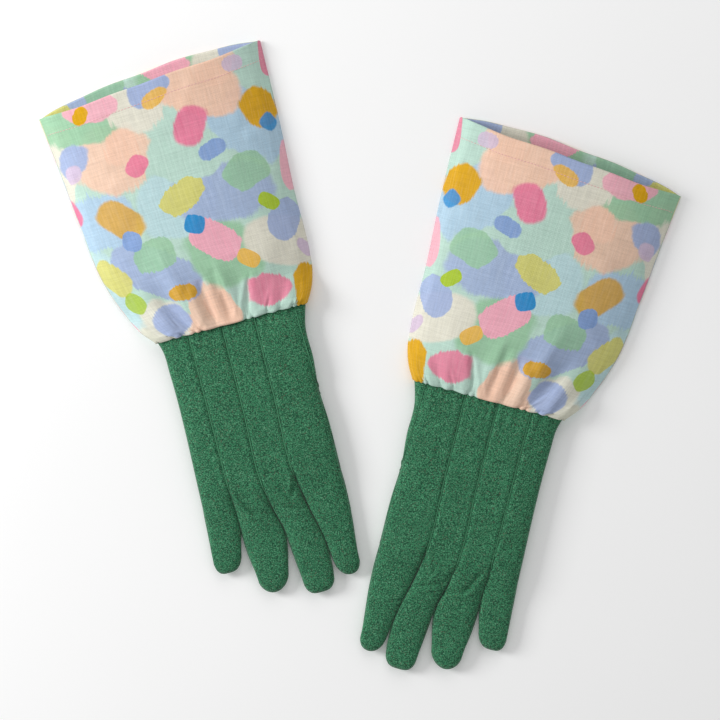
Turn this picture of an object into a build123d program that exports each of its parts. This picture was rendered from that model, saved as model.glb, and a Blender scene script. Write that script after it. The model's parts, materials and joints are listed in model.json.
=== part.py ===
"""A pair of gauntlet gardening gloves lying flat with their backs up and their thumbs folded under the palms.

Each glove is drawn once, as the right-hand one, in its own glove frame: the origin is the middle of the wrist
seam on the table, +X points to the thumb side, +Y to the mouth of the cuff and +Z up. The left-hand glove is
its mirror image. Both are then turned and set down side by side. The origin of the pair is the centre of its
bounding box, on the table. Every length is in millimetres and every angle in degrees.
"""

import os
from dataclasses import dataclass
from math import asin, atan2, cos, hypot, radians, sin, sqrt

from build123d import *

# How the pair lies on the table.
GLOVE_SPACING = 185.0  # from one wrist centre to the other, across
GLOVE_STAGGER = 55.4  # the left-hand glove lies this much nearer
GLOVE_TURN = 15.0  # each glove turns by this, with the cuffs apart

# Cloth, thread and elastic.
SUEDE = 1.0  # thickness of the green suede cloth
LINEN = 0.8  # thickness of the printed linen
THREAD = 0.6  # diameter of a sewing thread
ELASTIC = 1.2  # thickness of the elastic tape
ELASTIC_WIDTH = 8.0
BINDING = 0.6  # thickness of the tape over the inside of the wrist seam
BINDING_WIDTH = 5.0
TOUCH = 0.05  # air between a loose inner piece and the cloth round it

# Hand.
HAND_LENGTH = 117.0  # wrist seam to knuckle line
HAND_HEIGHT = 13.0  # outside, as the glove keeps its shape on the table
HAND_OFFSET = -1.75  # middle of the hand from the middle of the wrist seam
WRIST_FLARE = 4.5  # the hand is this much wider on each side at the wrist seam
FLARE_LENGTH = 14.0
GUSSET_TOP = 2.5  # width of the side gusset that shows beside the index strip
GUSSET_LENGTH = 55.0  # from the wrist seam to where the gusset turns under

# Fingers.
FINGER_HEIGHT = 10.0
FINGER_GAP = 1.0  # between neighbouring fingers at the knuckles
KNUCKLE_AXIS = 0.6  # height of the knuckle hinges above the table
KNUCKLE_ROOM = 2.5  # each side stops this far short of a knuckle hinge

# Thumb, flat under the palm.
THUMB_CLOTH = 0.9
THUMB_HEIGHT = 5.0
THUMB_ROOT = 40.0  # length of the root along the side of the hand
THUMB_REACH = 32.0  # root to the centre of the rounded tip, across
THUMB_ADVANCE = 57.0  # start of the root to the centre of the tip, along
THUMB_TIP = 11.0  # tip radius
THUMB_AIR = 0.6  # between the thumb and the palm above it
THUMB_CLEAR = 3.0  # between the thumb and the walls of its recess
THUMB_HINGE_OUT = 1.1  # the thumb's hinge lies this far outside the hand

# Cuff.
WRIST_ROOM = 4.0  # hand and cuff each stop this far short of the wrist hinge
CUFF_SKEW = 12.5  # the mouth's middle lies this far to the little-finger side
CUFF_LENGTH = 184.0  # wrist seam to the middle of the mouth
CUFF_WIDTH = 169.0  # flat width at the mouth
CUFF_SLANT = 5.0  # the mouth slants by this, longer on the thumb side
PUFF_LENGTH = 46.0  # wrist seam to where the gathers have run out
PUFF_WIDTH = 149.0
PUFF_SKEW = 7.0
GATHER_LENGTH = 18.0  # wrist seam to the shoulder of the gathers
GATHER_WIDTH = 135.0
GATHER_SKEW = 2.5
CUFF_WRIST_WIDTH = 114.0
PUFF_HEIGHT = 21.0
MOUTH_HEIGHT = 20.0
MOUTH_SETBACK = 2.5  # the middle of the upper edge lies this far behind the line between the folds
MOUTH_BULGE = 7.5  # the middle of the lower edge stands out this far beyond that line
HEM_DEPTH = 15.0
STITCH_INSET = 1.5  # from the inner edge of the hem to its line of stitching
STITCH_SHORT = 20.0  # the stitching of the lower layer stops this far from each fold
SEAM_ALLOWANCE = 8.0  # width of the seam flap inside the little-finger side
SEAM_SETBACK = 9.0  # from the outline to the flap, where the cuff is high enough for it


@dataclass(frozen=True)
class Finger:
    """One finger in plan: strip width at the knuckle, length, lean to the thumb side and tip radius."""

    name: str
    strip: float
    length: float
    lean: float
    tip: float


FINGERS = (
    Finger("little", 21.0, 57.0, -3.5, 9.6),
    Finger("ring", 24.5, 78.0, 1.0, 11.4),
    Finger("middle", 24.0, 87.0, 6.0, 11.2),
    Finger("index", 33.0, 80.0, 3.0, 9.2),
)

HAND_WIDTH = sum(f.strip for f in FINGERS)
LITTLE_SIDE = HAND_OFFSET - HAND_WIDTH / 2
THUMB_SIDE = HAND_OFFSET + HAND_WIDTH / 2
WRIST_END = -WRIST_ROOM
KNUCKLE_END = KNUCKLE_ROOM - HAND_LENGTH
INNER_TOP = HAND_HEIGHT - SUEDE
ELASTIC_START = WRIST_END - BINDING_WIDTH - SUEDE
ELASTIC_END = ELASTIC_START - ELASTIC_WIDTH
THUMB_MIDDLE = (ELASTIC_END + KNUCKLE_END) / 2  # halfway between the elastic and the knuckles
THUMB_START = (THUMB_ADVANCE + THUMB_TIP) / -2 - THUMB_MIDDLE  # wrist seam to the start of its root
RECESS_HEIGHT = THUMB_HEIGHT + THUMB_AIR  # underside of the palm where it lies over the thumb
THUMB_HINGE_HEIGHT = THUMB_HEIGHT + THUMB_AIR / 2


def seam(index):
    """Place across of the seam after that many finger strips."""
    return LITTLE_SIDE + sum(f.strip for f in FINGERS[:index])


def slab(points, low, high):
    """A flat piece of cloth with this outline, from one height to another."""
    face = make_face(Polyline(*points, close=True))
    return Pos(0, 0, low) * extrude(face, amount=high - low)


def block(x, y, z):
    """A box between pairs of limits."""
    return Pos(x[0], y[0], z[0]) * Box(
        x[1] - x[0], y[1] - y[0], z[1] - z[0], align=(Align.MIN, Align.MIN, Align.MIN)
    )


def one(shape):
    """The single solid of a boolean's result."""
    return shape.solids()[0]


def round_ended(start, finish, centre, radius):
    """A convex face: the edge from start to finish, and both its tangents to a round end."""

    def tangent(point, side):
        """Where the line from the point touches the round end, on that side."""
        across, along = centre[0] - point[0], centre[1] - point[1]
        distance = hypot(across, along)
        turn = atan2(along, across) + side * asin(radius / distance)
        reach = sqrt(distance**2 - radius**2)
        return (point[0] + reach * cos(turn), point[1] + reach * sin(turn))

    first, last = tangent(finish, 1), tangent(start, -1)
    middle = ((start[0] + finish[0]) / 2, (start[1] + finish[1]) / 2)
    length = hypot(centre[0] - middle[0], centre[1] - middle[1])
    crown = tuple(c + radius * (c - m) / length for c, m in zip(centre, middle))
    return make_face([
        Line(start, finish),
        Line(finish, first),
        ThreePointArc(first, crown, last),
        Line(last, start),
    ])


def pocket(outline, inner, height, cloth):
    """A flat tube closed at its tip: the upper cloth, the lower cloth and the wall between them."""
    lower = extrude(outline, amount=cloth)
    upper = Pos(0, 0, height - cloth) * lower
    wall = Pos(0, 0, cloth) * extrude(outline - inner, amount=height - 2 * cloth)
    return one(upper), one(lower), one(wall)


# ---------------------------------------------------------------------------------------------- fingers


def knuckle(index):
    """Glove-frame place of a finger's knuckle hinge."""
    return (seam(index) + FINGERS[index].strip / 2, -HAND_LENGTH, KNUCKLE_AXIS)


def finger_pieces(index):
    """Back, front and fourchette of one finger."""
    finger = FINGERS[index]
    half = (finger.strip - FINGER_GAP) / 2
    centre = (0, -(finger.length - finger.tip))

    def outline(inset, start):
        """The finger's plan, taken in by an inset."""
        corner = half - inset
        return round_ended((-corner, -start), (corner, -start), centre, finger.tip - inset)

    back, front, wall = pocket(
        outline(0, KNUCKLE_ROOM), outline(SUEDE, KNUCKLE_ROOM - SUEDE), FINGER_HEIGHT, SUEDE
    )
    across, along, _ = knuckle(index)
    place = Pos(across, along, 0) * Rot(0, 0, finger.lean)
    name = f"{finger.name}_finger"
    return {
        f"{name}_back": place * back,
        f"{name}_front": place * front,
        f"{name}_fourchette": place * wall,
    }


# ------------------------------------------------------------------------------------------------- hand


def recess_limits():
    """Limits across and along of the hollow under the palm that the thumb folds into."""
    inner = THUMB_SIDE - THUMB_REACH - THUMB_TIP - THUMB_CLEAR
    far = -(THUMB_START + THUMB_ADVANCE + THUMB_TIP + THUMB_CLEAR)
    return (inner, THUMB_SIDE), (far, THUMB_CLEAR - THUMB_START)


def hand_outline():
    """The hand's outline in plan, flared at the wrist."""
    return [
        (LITTLE_SIDE - WRIST_FLARE, WRIST_END),
        (LITTLE_SIDE, -FLARE_LENGTH),
        (LITTLE_SIDE, KNUCKLE_END),
        (THUMB_SIDE, KNUCKLE_END),
        (THUMB_SIDE, -FLARE_LENGTH),
        (THUMB_SIDE + WRIST_FLARE, WRIST_END),
    ]


def side_wall(sign):
    """Outline in plan of the cloth that stands up along one side of the hand."""
    edge = LITTLE_SIDE if sign < 0 else THUMB_SIDE
    line = [(edge + sign * WRIST_FLARE, WRIST_END), (edge, -FLARE_LENGTH), (edge, KNUCKLE_END)]
    return line + [(across - sign * SUEDE, along) for across, along in reversed(line)]


def palm_panel():
    """The palm: flat on the table, raised over the thumb, and turned up along the little-finger side."""
    across, along = recess_limits()
    low, top = (0, SUEDE), RECESS_HEIGHT + SUEDE
    inner_wall = block((across[0] - SUEDE, across[0]), (along[0] - SUEDE, along[1] + SUEDE), (0, top))
    wrist_wall = block((across[0], across[1]), (along[1], along[1] + SUEDE), (0, top))
    finger_wall = block((across[0], across[1]), (along[0] - SUEDE, along[0]), (0, top))
    flat = slab(hand_outline(), *low) - block(across, along, (-SUEDE, 2 * SUEDE))
    raised = block(across, along, (RECESS_HEIGHT, top))
    little_wall = slab(side_wall(-1), SUEDE, INNER_TOP)
    return one(flat + raised + inner_wall + wrist_wall + finger_wall + little_wall)


def back_strips():
    """The four strips of the back of the hand, each one finger wide."""
    strips = {}
    for index, finger in enumerate(FINGERS):
        left, right = seam(index), seam(index + 1)
        outline = [(left, WRIST_END), (left, KNUCKLE_END), (right, KNUCKLE_END), (right, WRIST_END)]
        if index == 0:
            outline[0] = (left - WRIST_FLARE, WRIST_END)
            outline.insert(1, (left, -FLARE_LENGTH))
        if index == len(FINGERS) - 1:
            outline[3] = (right - GUSSET_TOP, WRIST_END)
            outline.insert(3, (right, -GUSSET_LENGTH))
        strips[f"back_strip_{finger.name}"] = one(slab(outline, INNER_TOP, HAND_HEIGHT))
    return strips


def side_gusset():
    """The thumb side of the hand: a wall, and the narrow wedge of it that shows on the back."""
    recess_across, recess_along = recess_limits()
    wedge = [
        (THUMB_SIDE - GUSSET_TOP, WRIST_END),
        (THUMB_SIDE, -GUSSET_LENGTH),
        (THUMB_SIDE, -FLARE_LENGTH),
        (THUMB_SIDE + WRIST_FLARE, WRIST_END),
    ]
    shape = slab(wedge, INNER_TOP, HAND_HEIGHT) + slab(side_wall(1), SUEDE, INNER_TOP)
    near_recess = (recess_along[0] - SUEDE, recess_along[1] + SUEDE)
    room = block((recess_across[0], THUMB_SIDE + SUEDE), near_recess, (0, RECESS_HEIGHT + SUEDE))
    return one(shape - room)


def wrist_loop(start, width, thickness):
    """A flat tape sewn into a loop round the inside of the wrist."""
    end = start - width
    flare = WRIST_FLARE * (FLARE_LENGTH + end) / (FLARE_LENGTH + WRIST_END)
    left = LITTLE_SIDE - max(flare, 0) + SUEDE + TOUCH
    right = THUMB_SIDE + max(flare, 0) - SUEDE - TOUCH
    low, high = SUEDE + TOUCH, INNER_TOP - TOUCH
    outer = block((left, right), (end, start), (low, high))
    outer = fillet(outer.edges().filter_by(Axis.Y), 2 * thickness)
    inner = block(
        (left + thickness, right - thickness),
        (end - SUEDE, start + SUEDE),
        (low + thickness, high - thickness),
    )
    inner = fillet(inner.edges().filter_by(Axis.Y), thickness)
    return one(outer - inner)


def seam_threads():
    """The three pin-tuck seams down the back of the hand, as raised threads."""
    length = WRIST_END - KNUCKLE_END
    bar = extrude(Plane.XZ * Circle(THREAD / 2), amount=length)
    height = HAND_HEIGHT + THREAD / 2
    return Compound([one(Pos(seam(index), WRIST_END, height) * bar) for index in (1, 2, 3)])


def hand_pieces():
    """Every piece that stays with the palm."""
    return {
        "palm_panel": palm_panel(),
        **back_strips(),
        "side_gusset": side_gusset(),
        "wrist_binding": wrist_loop(WRIST_END, BINDING_WIDTH, BINDING),
        "wrist_elastic": wrist_loop(ELASTIC_START, ELASTIC_WIDTH, ELASTIC),
        "back_seam_threads": seam_threads(),
    }


# ------------------------------------------------------------------------------------------------ thumb


def thumb_pieces():
    """The thumb, flat on the table under the palm, rooted along the side of the hand."""

    def outline(inset, overrun):
        """The thumb's plan, taken in by an inset, with its root moved outwards."""
        root = THUMB_SIDE + overrun
        return round_ended(
            (root, -(THUMB_START + inset)),
            (root, -(THUMB_START + THUMB_ROOT - inset)),
            (THUMB_SIDE - THUMB_REACH, -(THUMB_START + THUMB_ADVANCE)),
            THUMB_TIP - inset,
        )

    upper, lower, wall = pocket(
        outline(0, 0), outline(THUMB_CLOTH, THUMB_CLOTH), THUMB_HEIGHT, THUMB_CLOTH
    )
    return {"thumb_upper": upper, "thumb_lower": lower, "thumb_side_wall": wall}


# ------------------------------------------------------------------------------------------------- cuff


@dataclass(frozen=True)
class Rib:
    """A section across the cuff: the place of its two folds, its height, and how its two edges bow."""

    left: tuple
    right: tuple
    height: float
    setback: float = 0.0  # of the upper layer's middle from the line between the folds
    bulge: float = 0.0  # of the lower layer's middle beyond that line

    def middle(self):
        """Halfway between the folds."""
        return [(a + b) / 2 for a, b in zip(self.left, self.right)]

    def span(self):
        """Distance between the folds."""
        return hypot(self.right[0] - self.left[0], self.right[1] - self.left[1])

    def beside(self, distance):
        """The middle, moved that far towards the mouth, square to the line between the folds."""
        across, along = (b - a for a, b in zip(self.left, self.right))
        middle = self.middle()
        return (middle[0] - along / self.span() * distance, middle[1] + across / self.span() * distance)

    def arch(self, lift=0.0, sink=0.0):
        """The arched line from fold to fold, lifted or sunk square to the cloth."""
        change = lift - sink
        slope = 4 * self.height / self.span()  # of the arch where it meets the fold
        outwards = change * sqrt(1 + slope**2) / slope / self.span()
        ends = [
            [p + (p - q) * outwards for p, q in zip(self.left, self.right)],
            [q + (q - p) * outwards for p, q in zip(self.left, self.right)],
        ]
        back = self.setback * (1 + change / (self.height - LINEN))  # keeps every arch in one plane
        crown = (*self.beside(-back), self.height + change)
        return [(*ends[0], LINEN), crown, (*ends[1], LINEN)]

    def strip(self, outer, inner):
        """The closed crescent between two depths in the cloth."""
        over, under = self.arch(sink=outer), self.arch(sink=inner)
        return make_face([
            ThreePointArc(*over),
            Line(over[2], under[2]),
            ThreePointArc(*under),
            Line(under[0], over[0]),
        ])

    def flat_edge(self, inset=0.0):
        """The edge of the lower layer, taken in at both folds."""
        share = inset / self.span()
        left = tuple(a + (b - a) * share for a, b in zip(self.left, self.right))
        right = tuple(b + (a - b) * share for a, b in zip(self.left, self.right))
        if not self.bulge:
            return Line(left, right)
        chord = 1 - 2 * share
        return ThreePointArc(left, self.beside(self.bulge * chord**2), right)


def rib(along, width, skew, height, slant=0.0, setback=0.0, bulge=0.0):
    """A section at this distance from the wrist seam, with its middle moved to the little-finger side."""
    half, rise = width / 2 * cos(radians(slant)), width / 2 * sin(radians(slant))
    return Rib((-skew - half, along - rise), (-skew + half, along + rise), height, setback, bulge)


def mouth_rib(depth):
    """The section this far inside the mouth, where the cuff tapers evenly."""
    share = depth / (CUFF_LENGTH - PUFF_LENGTH)
    return rib(
        CUFF_LENGTH - depth,
        CUFF_WIDTH - share * (CUFF_WIDTH - PUFF_WIDTH),
        CUFF_SKEW - share * (CUFF_SKEW - PUFF_SKEW),
        MOUTH_HEIGHT - share * (MOUTH_HEIGHT - PUFF_HEIGHT),
        CUFF_SLANT,
        MOUTH_SETBACK,
        MOUTH_BULGE,
    )


def cuff_ribs():
    """The cuff's sections from the wrist to the mouth; the last two bound the hem."""
    return [
        rib(WRIST_ROOM, CUFF_WRIST_WIDTH, 0, HAND_HEIGHT),
        rib(GATHER_LENGTH, GATHER_WIDTH, GATHER_SKEW, (HAND_HEIGHT + PUFF_HEIGHT) / 2),
        rib(PUFF_LENGTH, PUFF_WIDTH, PUFF_SKEW, PUFF_HEIGHT),
        mouth_rib(HEM_DEPTH),
        mouth_rib(0),
    ]


def arched_cloth(ribs, outer, inner):
    """Cloth that follows the arches of the sections, between two depths."""
    spans = [
        loft([low.strip(outer, inner), high.strip(outer, inner)], ruled=True)
        for low, high in zip(ribs, ribs[1:])
    ]
    return one(spans[0].fuse(*spans[1:])) if len(spans) > 1 else one(spans[0])


def flat_cloth(ribs, low, high, inset=0.0):
    """Cloth that lies flat between the folds of the sections, taken in at both folds."""
    edges = [r.flat_edge(inset) for r in ribs]
    sides = [Line(a @ end, b @ end) for a, b in zip(edges, edges[1:]) for end in (0, 1)]
    face = make_face([edges[0], edges[-1], *sides])
    return one(Pos(0, 0, low) * extrude(face, amount=high - low))


def stitching(line):
    """A thread along a line."""
    return one(sweep(Plane(line @ 0, z_dir=line % 0) * Circle(THREAD / 2), line))


def hem_threads():
    """The line of stitching that holds the hem, on the outside above and on the inside below."""
    stitch = mouth_rib(HEM_DEPTH - STITCH_INSET)
    upper = stitching(ThreePointArc(*stitch.arch(lift=THREAD / 2)))
    lower = Pos(0, 0, 2 * LINEN + THREAD / 2) * stitching(stitch.flat_edge(STITCH_SHORT))
    return Compound([upper, lower])


def side_seam():
    """The seam flap that lies inside the little-finger fold, from the puff to the hem."""
    _, _, puff, hem, _ = cuff_ribs()
    flap = [
        (end.left[0] + SEAM_SETBACK + width, end.left[1])
        for end, width in ((puff, 0), (hem, 0), (hem, SEAM_ALLOWANCE), (puff, SEAM_ALLOWANCE))
    ]
    return one(slab(flap, LINEN, 2 * LINEN))


def cuff_pieces():
    """Every piece of the linen cuff."""
    ribs = cuff_ribs()
    fold_slope = 4 * MOUTH_HEIGHT / CUFF_WIDTH  # how fast the cuff's inside rises from its folds
    hem_inset = 3 * LINEN / fold_slope
    return {
        "cuff_back": arched_cloth(ribs, 0, LINEN),
        "cuff_front": flat_cloth(ribs, 0, LINEN),
        "cuff_hem": Compound([
            arched_cloth(ribs[-2:], LINEN, 2 * LINEN),
            flat_cloth(ribs[-2:], LINEN, 2 * LINEN, hem_inset),
        ]),
        "cuff_hem_thread": hem_threads(),
        "cuff_side_seam": side_seam(),
    }


# ------------------------------------------------------------------------------------------------- pair


SIDES = ((-1, "right"), (1, "left"))


def glove():
    """Every piece of the right-hand glove in the glove frame, by body."""
    bodies = {"hand": hand_pieces()}
    for index, finger in enumerate(FINGERS):
        bodies[f"{finger.name}_finger"] = finger_pieces(index)
    bodies["thumb"] = thumb_pieces()
    bodies["cuff"] = cuff_pieces()
    return bodies


def hinges():
    """Place and axis of each hinge of the right-hand glove, in the glove frame."""
    thumb_root = -(THUMB_START + THUMB_ROOT / 2)
    found = {
        "wrist_bend": ((0, 0, HAND_HEIGHT / 2), (-1, 0, 0)),
        "thumb_unfold": ((THUMB_SIDE + THUMB_HINGE_OUT, thumb_root, THUMB_HINGE_HEIGHT), (0, -1, 0)),
    }
    for index, finger in enumerate(FINGERS):
        lean = radians(finger.lean)
        found[f"{finger.name}_bend"] = (knuckle(index), (cos(lean), sin(lean), 0))
    return found


def glove_turn(side):
    """How a glove of this side is turned: side is -1 for the right-hand glove, 1 for the left-hand."""
    return Rot(0, 0, -side * GLOVE_TURN)


def glove_place(side):
    """Where a glove of this side lies before the pair is centred."""
    return Pos(side * GLOVE_SPACING / 2, -side * GLOVE_STAGGER / 2, 0) * glove_turn(side)


def build():
    """Every node of the pair by name, and the move that centres the pair on the origin."""
    pieces = {}
    for side, hand in SIDES:
        for body in glove().values():
            for name, shape in body.items():
                own = mirror(shape, about=Plane.YZ) if side > 0 else shape
                pieces[f"{hand}_{name}"] = glove_place(side) * own
    box = Compound(list(pieces.values())).bounding_box()
    centring = Pos(-(box.min.X + box.max.X) / 2, -(box.min.Y + box.max.Y) / 2, 0)
    return {name: centring * shape for name, shape in pieces.items()}, centring


def pair_hinges(centring):
    """Place and axis of every hinge of the pair, in the pair's frame."""
    found = {}
    for side, hand in SIDES:
        for name, (place, axis) in hinges().items():
            if side > 0:  # a mirror image turns the other way
                place = (-place[0], place[1], place[2])
                axis = (axis[0], -axis[1], -axis[2])
            at = (centring * glove_place(side) * Pos(*place)).position
            along = (glove_turn(side) * Pos(*axis)).position
            found[f"{hand}_{name}"] = (tuple(at), tuple(along))
    return found


def main():
    """Writes each node to its own STEP file, and prints the pair's size and its hinges."""
    os.makedirs("parts", exist_ok=True)
    pieces, centring = build()
    for name, shape in pieces.items():
        export_step(shape, f"parts/{name}.step")
    size = Compound(list(pieces.values())).bounding_box().size
    print(f"{len(pieces)} nodes, {size.X:.1f} x {size.Y:.1f} x {size.Z:.1f} mm")
    for name, (at, along) in pair_hinges(centring).items():
        print(name, "at", [round(value, 2) for value in at], "along", [round(value, 4) for value in along])


if __name__ == "__main__":
    main()
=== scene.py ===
"""The looks of a pair of gauntlet gardening gloves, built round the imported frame.

Each glove is described once, as the right-hand one, in its own glove frame: the origin is the middle of the wrist
seam on the table, x points to the thumb side, y to the mouth of the cuff and z up, in millimetres. A Lie puts a
point of that frame on the table, in metres, and mirrors it for the left-hand glove. Distances down the hand are
measured from the wrist seam to the fingertips and called reach.
"""

from __future__ import annotations

import json
import logging
from collections.abc import Callable, Sequence
from dataclasses import dataclass
from enum import Enum

import bpy
import numpy as np
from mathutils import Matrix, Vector, noise

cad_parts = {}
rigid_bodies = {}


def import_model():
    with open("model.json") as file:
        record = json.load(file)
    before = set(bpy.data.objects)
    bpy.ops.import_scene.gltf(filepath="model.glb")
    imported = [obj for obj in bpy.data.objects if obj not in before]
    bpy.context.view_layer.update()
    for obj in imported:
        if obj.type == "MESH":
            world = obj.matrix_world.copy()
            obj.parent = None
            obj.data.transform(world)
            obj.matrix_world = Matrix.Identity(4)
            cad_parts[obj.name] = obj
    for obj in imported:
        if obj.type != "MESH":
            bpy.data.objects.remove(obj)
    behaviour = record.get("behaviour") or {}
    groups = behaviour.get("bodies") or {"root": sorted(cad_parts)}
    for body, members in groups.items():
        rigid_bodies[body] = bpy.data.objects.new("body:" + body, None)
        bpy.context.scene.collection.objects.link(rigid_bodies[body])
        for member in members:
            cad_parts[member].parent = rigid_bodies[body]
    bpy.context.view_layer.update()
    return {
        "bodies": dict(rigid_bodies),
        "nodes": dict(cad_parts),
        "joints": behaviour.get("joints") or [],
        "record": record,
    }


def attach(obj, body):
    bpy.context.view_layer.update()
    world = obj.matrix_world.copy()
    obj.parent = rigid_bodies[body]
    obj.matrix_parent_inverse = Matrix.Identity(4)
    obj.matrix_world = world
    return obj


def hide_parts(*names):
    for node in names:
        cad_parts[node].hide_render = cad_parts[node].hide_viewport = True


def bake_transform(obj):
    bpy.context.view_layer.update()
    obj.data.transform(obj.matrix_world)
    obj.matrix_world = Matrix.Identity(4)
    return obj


LOG = logging.getLogger("gloves")
MM = 0.001

Points = np.ndarray
Colour = tuple[float, float, float]


class Hand(Enum):
    """Which hand a glove is for; the value starts the names of its pieces."""

    RIGHT = "right"
    LEFT = "left"


# ------------------------------------------------------------------------------------------- small mathematics


def smooth(value: Points, low: float = 0.0, high: float = 1.0) -> Points:
    """Rises smoothly from 0 at low to 1 at high.

    Args:
        value: Numbers to ease.
        low: Where the rise starts.
        high: Where it ends.

    Returns:
        The eased share for each number.
    """
    share = np.clip((value - low) / (high - low), 0, 1)
    return share * share * (3 - 2 * share)


def dome(value: Points, roundness: float = 2.0, softness: float = 2.0) -> Points:
    """Height of a dome over -1 to 1, which is 1 in the middle and 0 at both ends.

    Args:
        value: Place across the dome.
        roundness: Power of the place; more makes the top flatter.
        softness: Root of what is left; more makes the ends steeper.

    Returns:
        The height at each place.
    """
    return np.clip(1 - np.abs(value) ** roundness, 0, 1) ** (1 / softness)


def through(points: Sequence[tuple[float, float]], at: Points) -> Points:
    """A smooth line through a few points.

    Args:
        points: Pairs of place and value, with the places rising.
        at: Places to read.

    Returns:
        The value at each place.
    """
    place, value = np.array(points, float).T
    slope = np.gradient(value, place)
    at = np.clip(at, place[0], place[-1])
    i = np.clip(np.searchsorted(place, at, side="right") - 1, 0, len(place) - 2)
    gap = place[i + 1] - place[i]
    t = (at - place[i]) / gap
    rest = 1 - t
    return (
        value[i] * (1 + 2 * t) * rest**2
        + slope[i] * gap * t * rest**2
        + value[i + 1] * (3 - 2 * t) * t**2
        - slope[i + 1] * gap * rest * t**2
    )


def ripple(x: Points, y: Points, size_x: float, size_y: float, seed: float) -> Points:
    """Soft random height over a plane, about -1 to 1.

    Args:
        x: Places across.
        y: Places along.
        size_x: Distance across between hollows.
        size_y: Distance along between hollows.
        seed: Picks the pattern.

    Returns:
        The height at each place.
    """
    return np.array([noise.noise(Vector((a / size_x, b / size_y, seed))) for a, b in zip(x, y)])


@dataclass(frozen=True)
class Crease:
    """A fold line pressed into cloth, from one point of the glove frame to another."""

    start: tuple[float, float]
    end: tuple[float, float]
    depth: float
    width: float

    def height(self, x: Points, y: Points) -> Points:
        """Depth of the crease at each point, negative in its valley and positive on its far lip."""
        a, b = np.array(self.start), np.array(self.end)
        run = b - a
        length = float(np.hypot(*run))
        along = ((x - a[0]) * run[0] + (y - a[1]) * run[1]) / length**2
        off = ((x - a[0]) * run[1] - (y - a[1]) * run[0]) / length / self.width
        fade = np.clip(1 - np.abs(2 * along - 1) ** 3, 0, 1)
        return self.depth * fade * (0.7 * np.exp(-((off - 1.3) ** 2)) - np.exp(-(off**2)))


# ------------------------------------------------------------------------------------------------ placing


@dataclass(frozen=True)
class Lie:
    """How one glove lies on the table."""

    hand: Hand
    origin: Vector
    across: Vector  # to the thumb side
    along: Vector  # to the mouth of the cuff

    @classmethod
    def of(cls, hand: Hand, joints: Sequence[dict]) -> Lie:
        """Reads a glove's lie from its wrist joint.

        Args:
            hand: The glove.
            joints: The frame's joints.

        Returns:
            The glove's lie.
        """
        wrist = next(j for j in joints if j["name"] == f"{hand.value}_wrist_bend")
        over = -Vector(wrist["axis"])
        along = Vector((0, 0, 1)).cross(over)
        origin = Vector((wrist["pos_m"][0], wrist["pos_m"][1], 0))
        return cls(hand, origin, over if hand is Hand.RIGHT else -over, along)

    def put(self, points: Points) -> Points:
        """Points of the glove frame, in millimetres, as points on the table, in metres."""
        axes = np.array([self.across, self.along, Vector((0, 0, 1))])
        return points * MM @ axes + np.array(self.origin)

    def point(self, x: float, y: float, z: float) -> tuple[float, float, float]:
        """One point of the glove frame on the table."""
        return tuple(self.put(np.array([[x, y, z]]))[0])

    def name(self, piece: str) -> str:
        """The piece's name with the hand in front."""
        return f"{self.hand.value}_{piece}"


# ------------------------------------------------------------------------------------------------ meshes


def read_points(mesh: bpy.types.Mesh) -> Points:
    """The mesh's vertices as an array."""
    found = np.empty(len(mesh.vertices) * 3, np.float32)
    mesh.vertices.foreach_get("co", found)
    return found.reshape(-1, 3).astype(float)


def write_points(mesh: bpy.types.Mesh, points: Points) -> None:
    """Moves the mesh's vertices to these points."""
    mesh.vertices.foreach_set("co", points.astype(np.float32).ravel())
    mesh.update()


def only(piece: bpy.types.Object) -> None:
    """Makes the piece the one that is selected and active."""
    bpy.ops.object.select_all(action="DESELECT")
    piece.select_set(True)
    bpy.context.view_layer.objects.active = piece


def edit(piece: bpy.types.Object, *steps: Callable[[], object]) -> None:
    """Runs edit-mode operators on the whole of a piece."""
    only(piece)
    bpy.ops.object.mode_set(mode="EDIT")
    bpy.ops.mesh.select_all(action="SELECT")
    for step in steps:
        step()
    bpy.ops.object.mode_set(mode="OBJECT")


def apply_modifiers(piece: bpy.types.Object) -> None:
    """Applies every modifier of a piece in order."""
    only(piece)
    for modifier in list(piece.modifiers):
        bpy.ops.object.modifier_apply(modifier=modifier.name)


def cloth_grid(
    name: str,
    columns: int,
    rows: int,
    place: Callable[[Points, Points], Points],
    cut: Callable[[Points, Points], tuple[Points, Points]],
    lie: Lie,
) -> bpy.types.Object:
    """Lays a flat grid of cloth over a shape.

    Args:
        name: Name of the piece.
        columns: Faces across.
        rows: Faces along.
        place: Gives the glove-frame points of shares across and along, so that across turned to along faces out.
        cut: Gives where those points were in the flat cloth, in millimetres, for the piece's UV map.
        lie: How the glove lies.

    Returns:
        The piece, with smooth faces that point outwards.
    """
    bpy.ops.object.select_all(action="DESELECT")
    bpy.ops.mesh.primitive_grid_add(x_subdivisions=columns, y_subdivisions=rows, size=2)
    piece = bpy.context.object
    piece.name = piece.data.name = name
    flat = read_points(piece.data)
    u, v = (flat[:, 0] + 1) / 2, (flat[:, 1] + 1) / 2
    write_points(piece.data, lie.put(place(u, v)))
    corners = np.empty(len(piece.data.loops), int)
    piece.data.loops.foreach_get("vertex_index", corners)
    layer = piece.data.uv_layers.active or piece.data.uv_layers.new()
    layer.name = "cut"
    flat_place = np.stack(cut(u, v), axis=1)[corners] * MM
    layer.data.foreach_set("uv", flat_place.astype(np.float32).ravel())
    if lie.hand is Hand.LEFT:
        edit(piece, bpy.ops.mesh.flip_normals)
    only(piece)
    bpy.ops.object.shade_smooth()
    return piece


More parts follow.
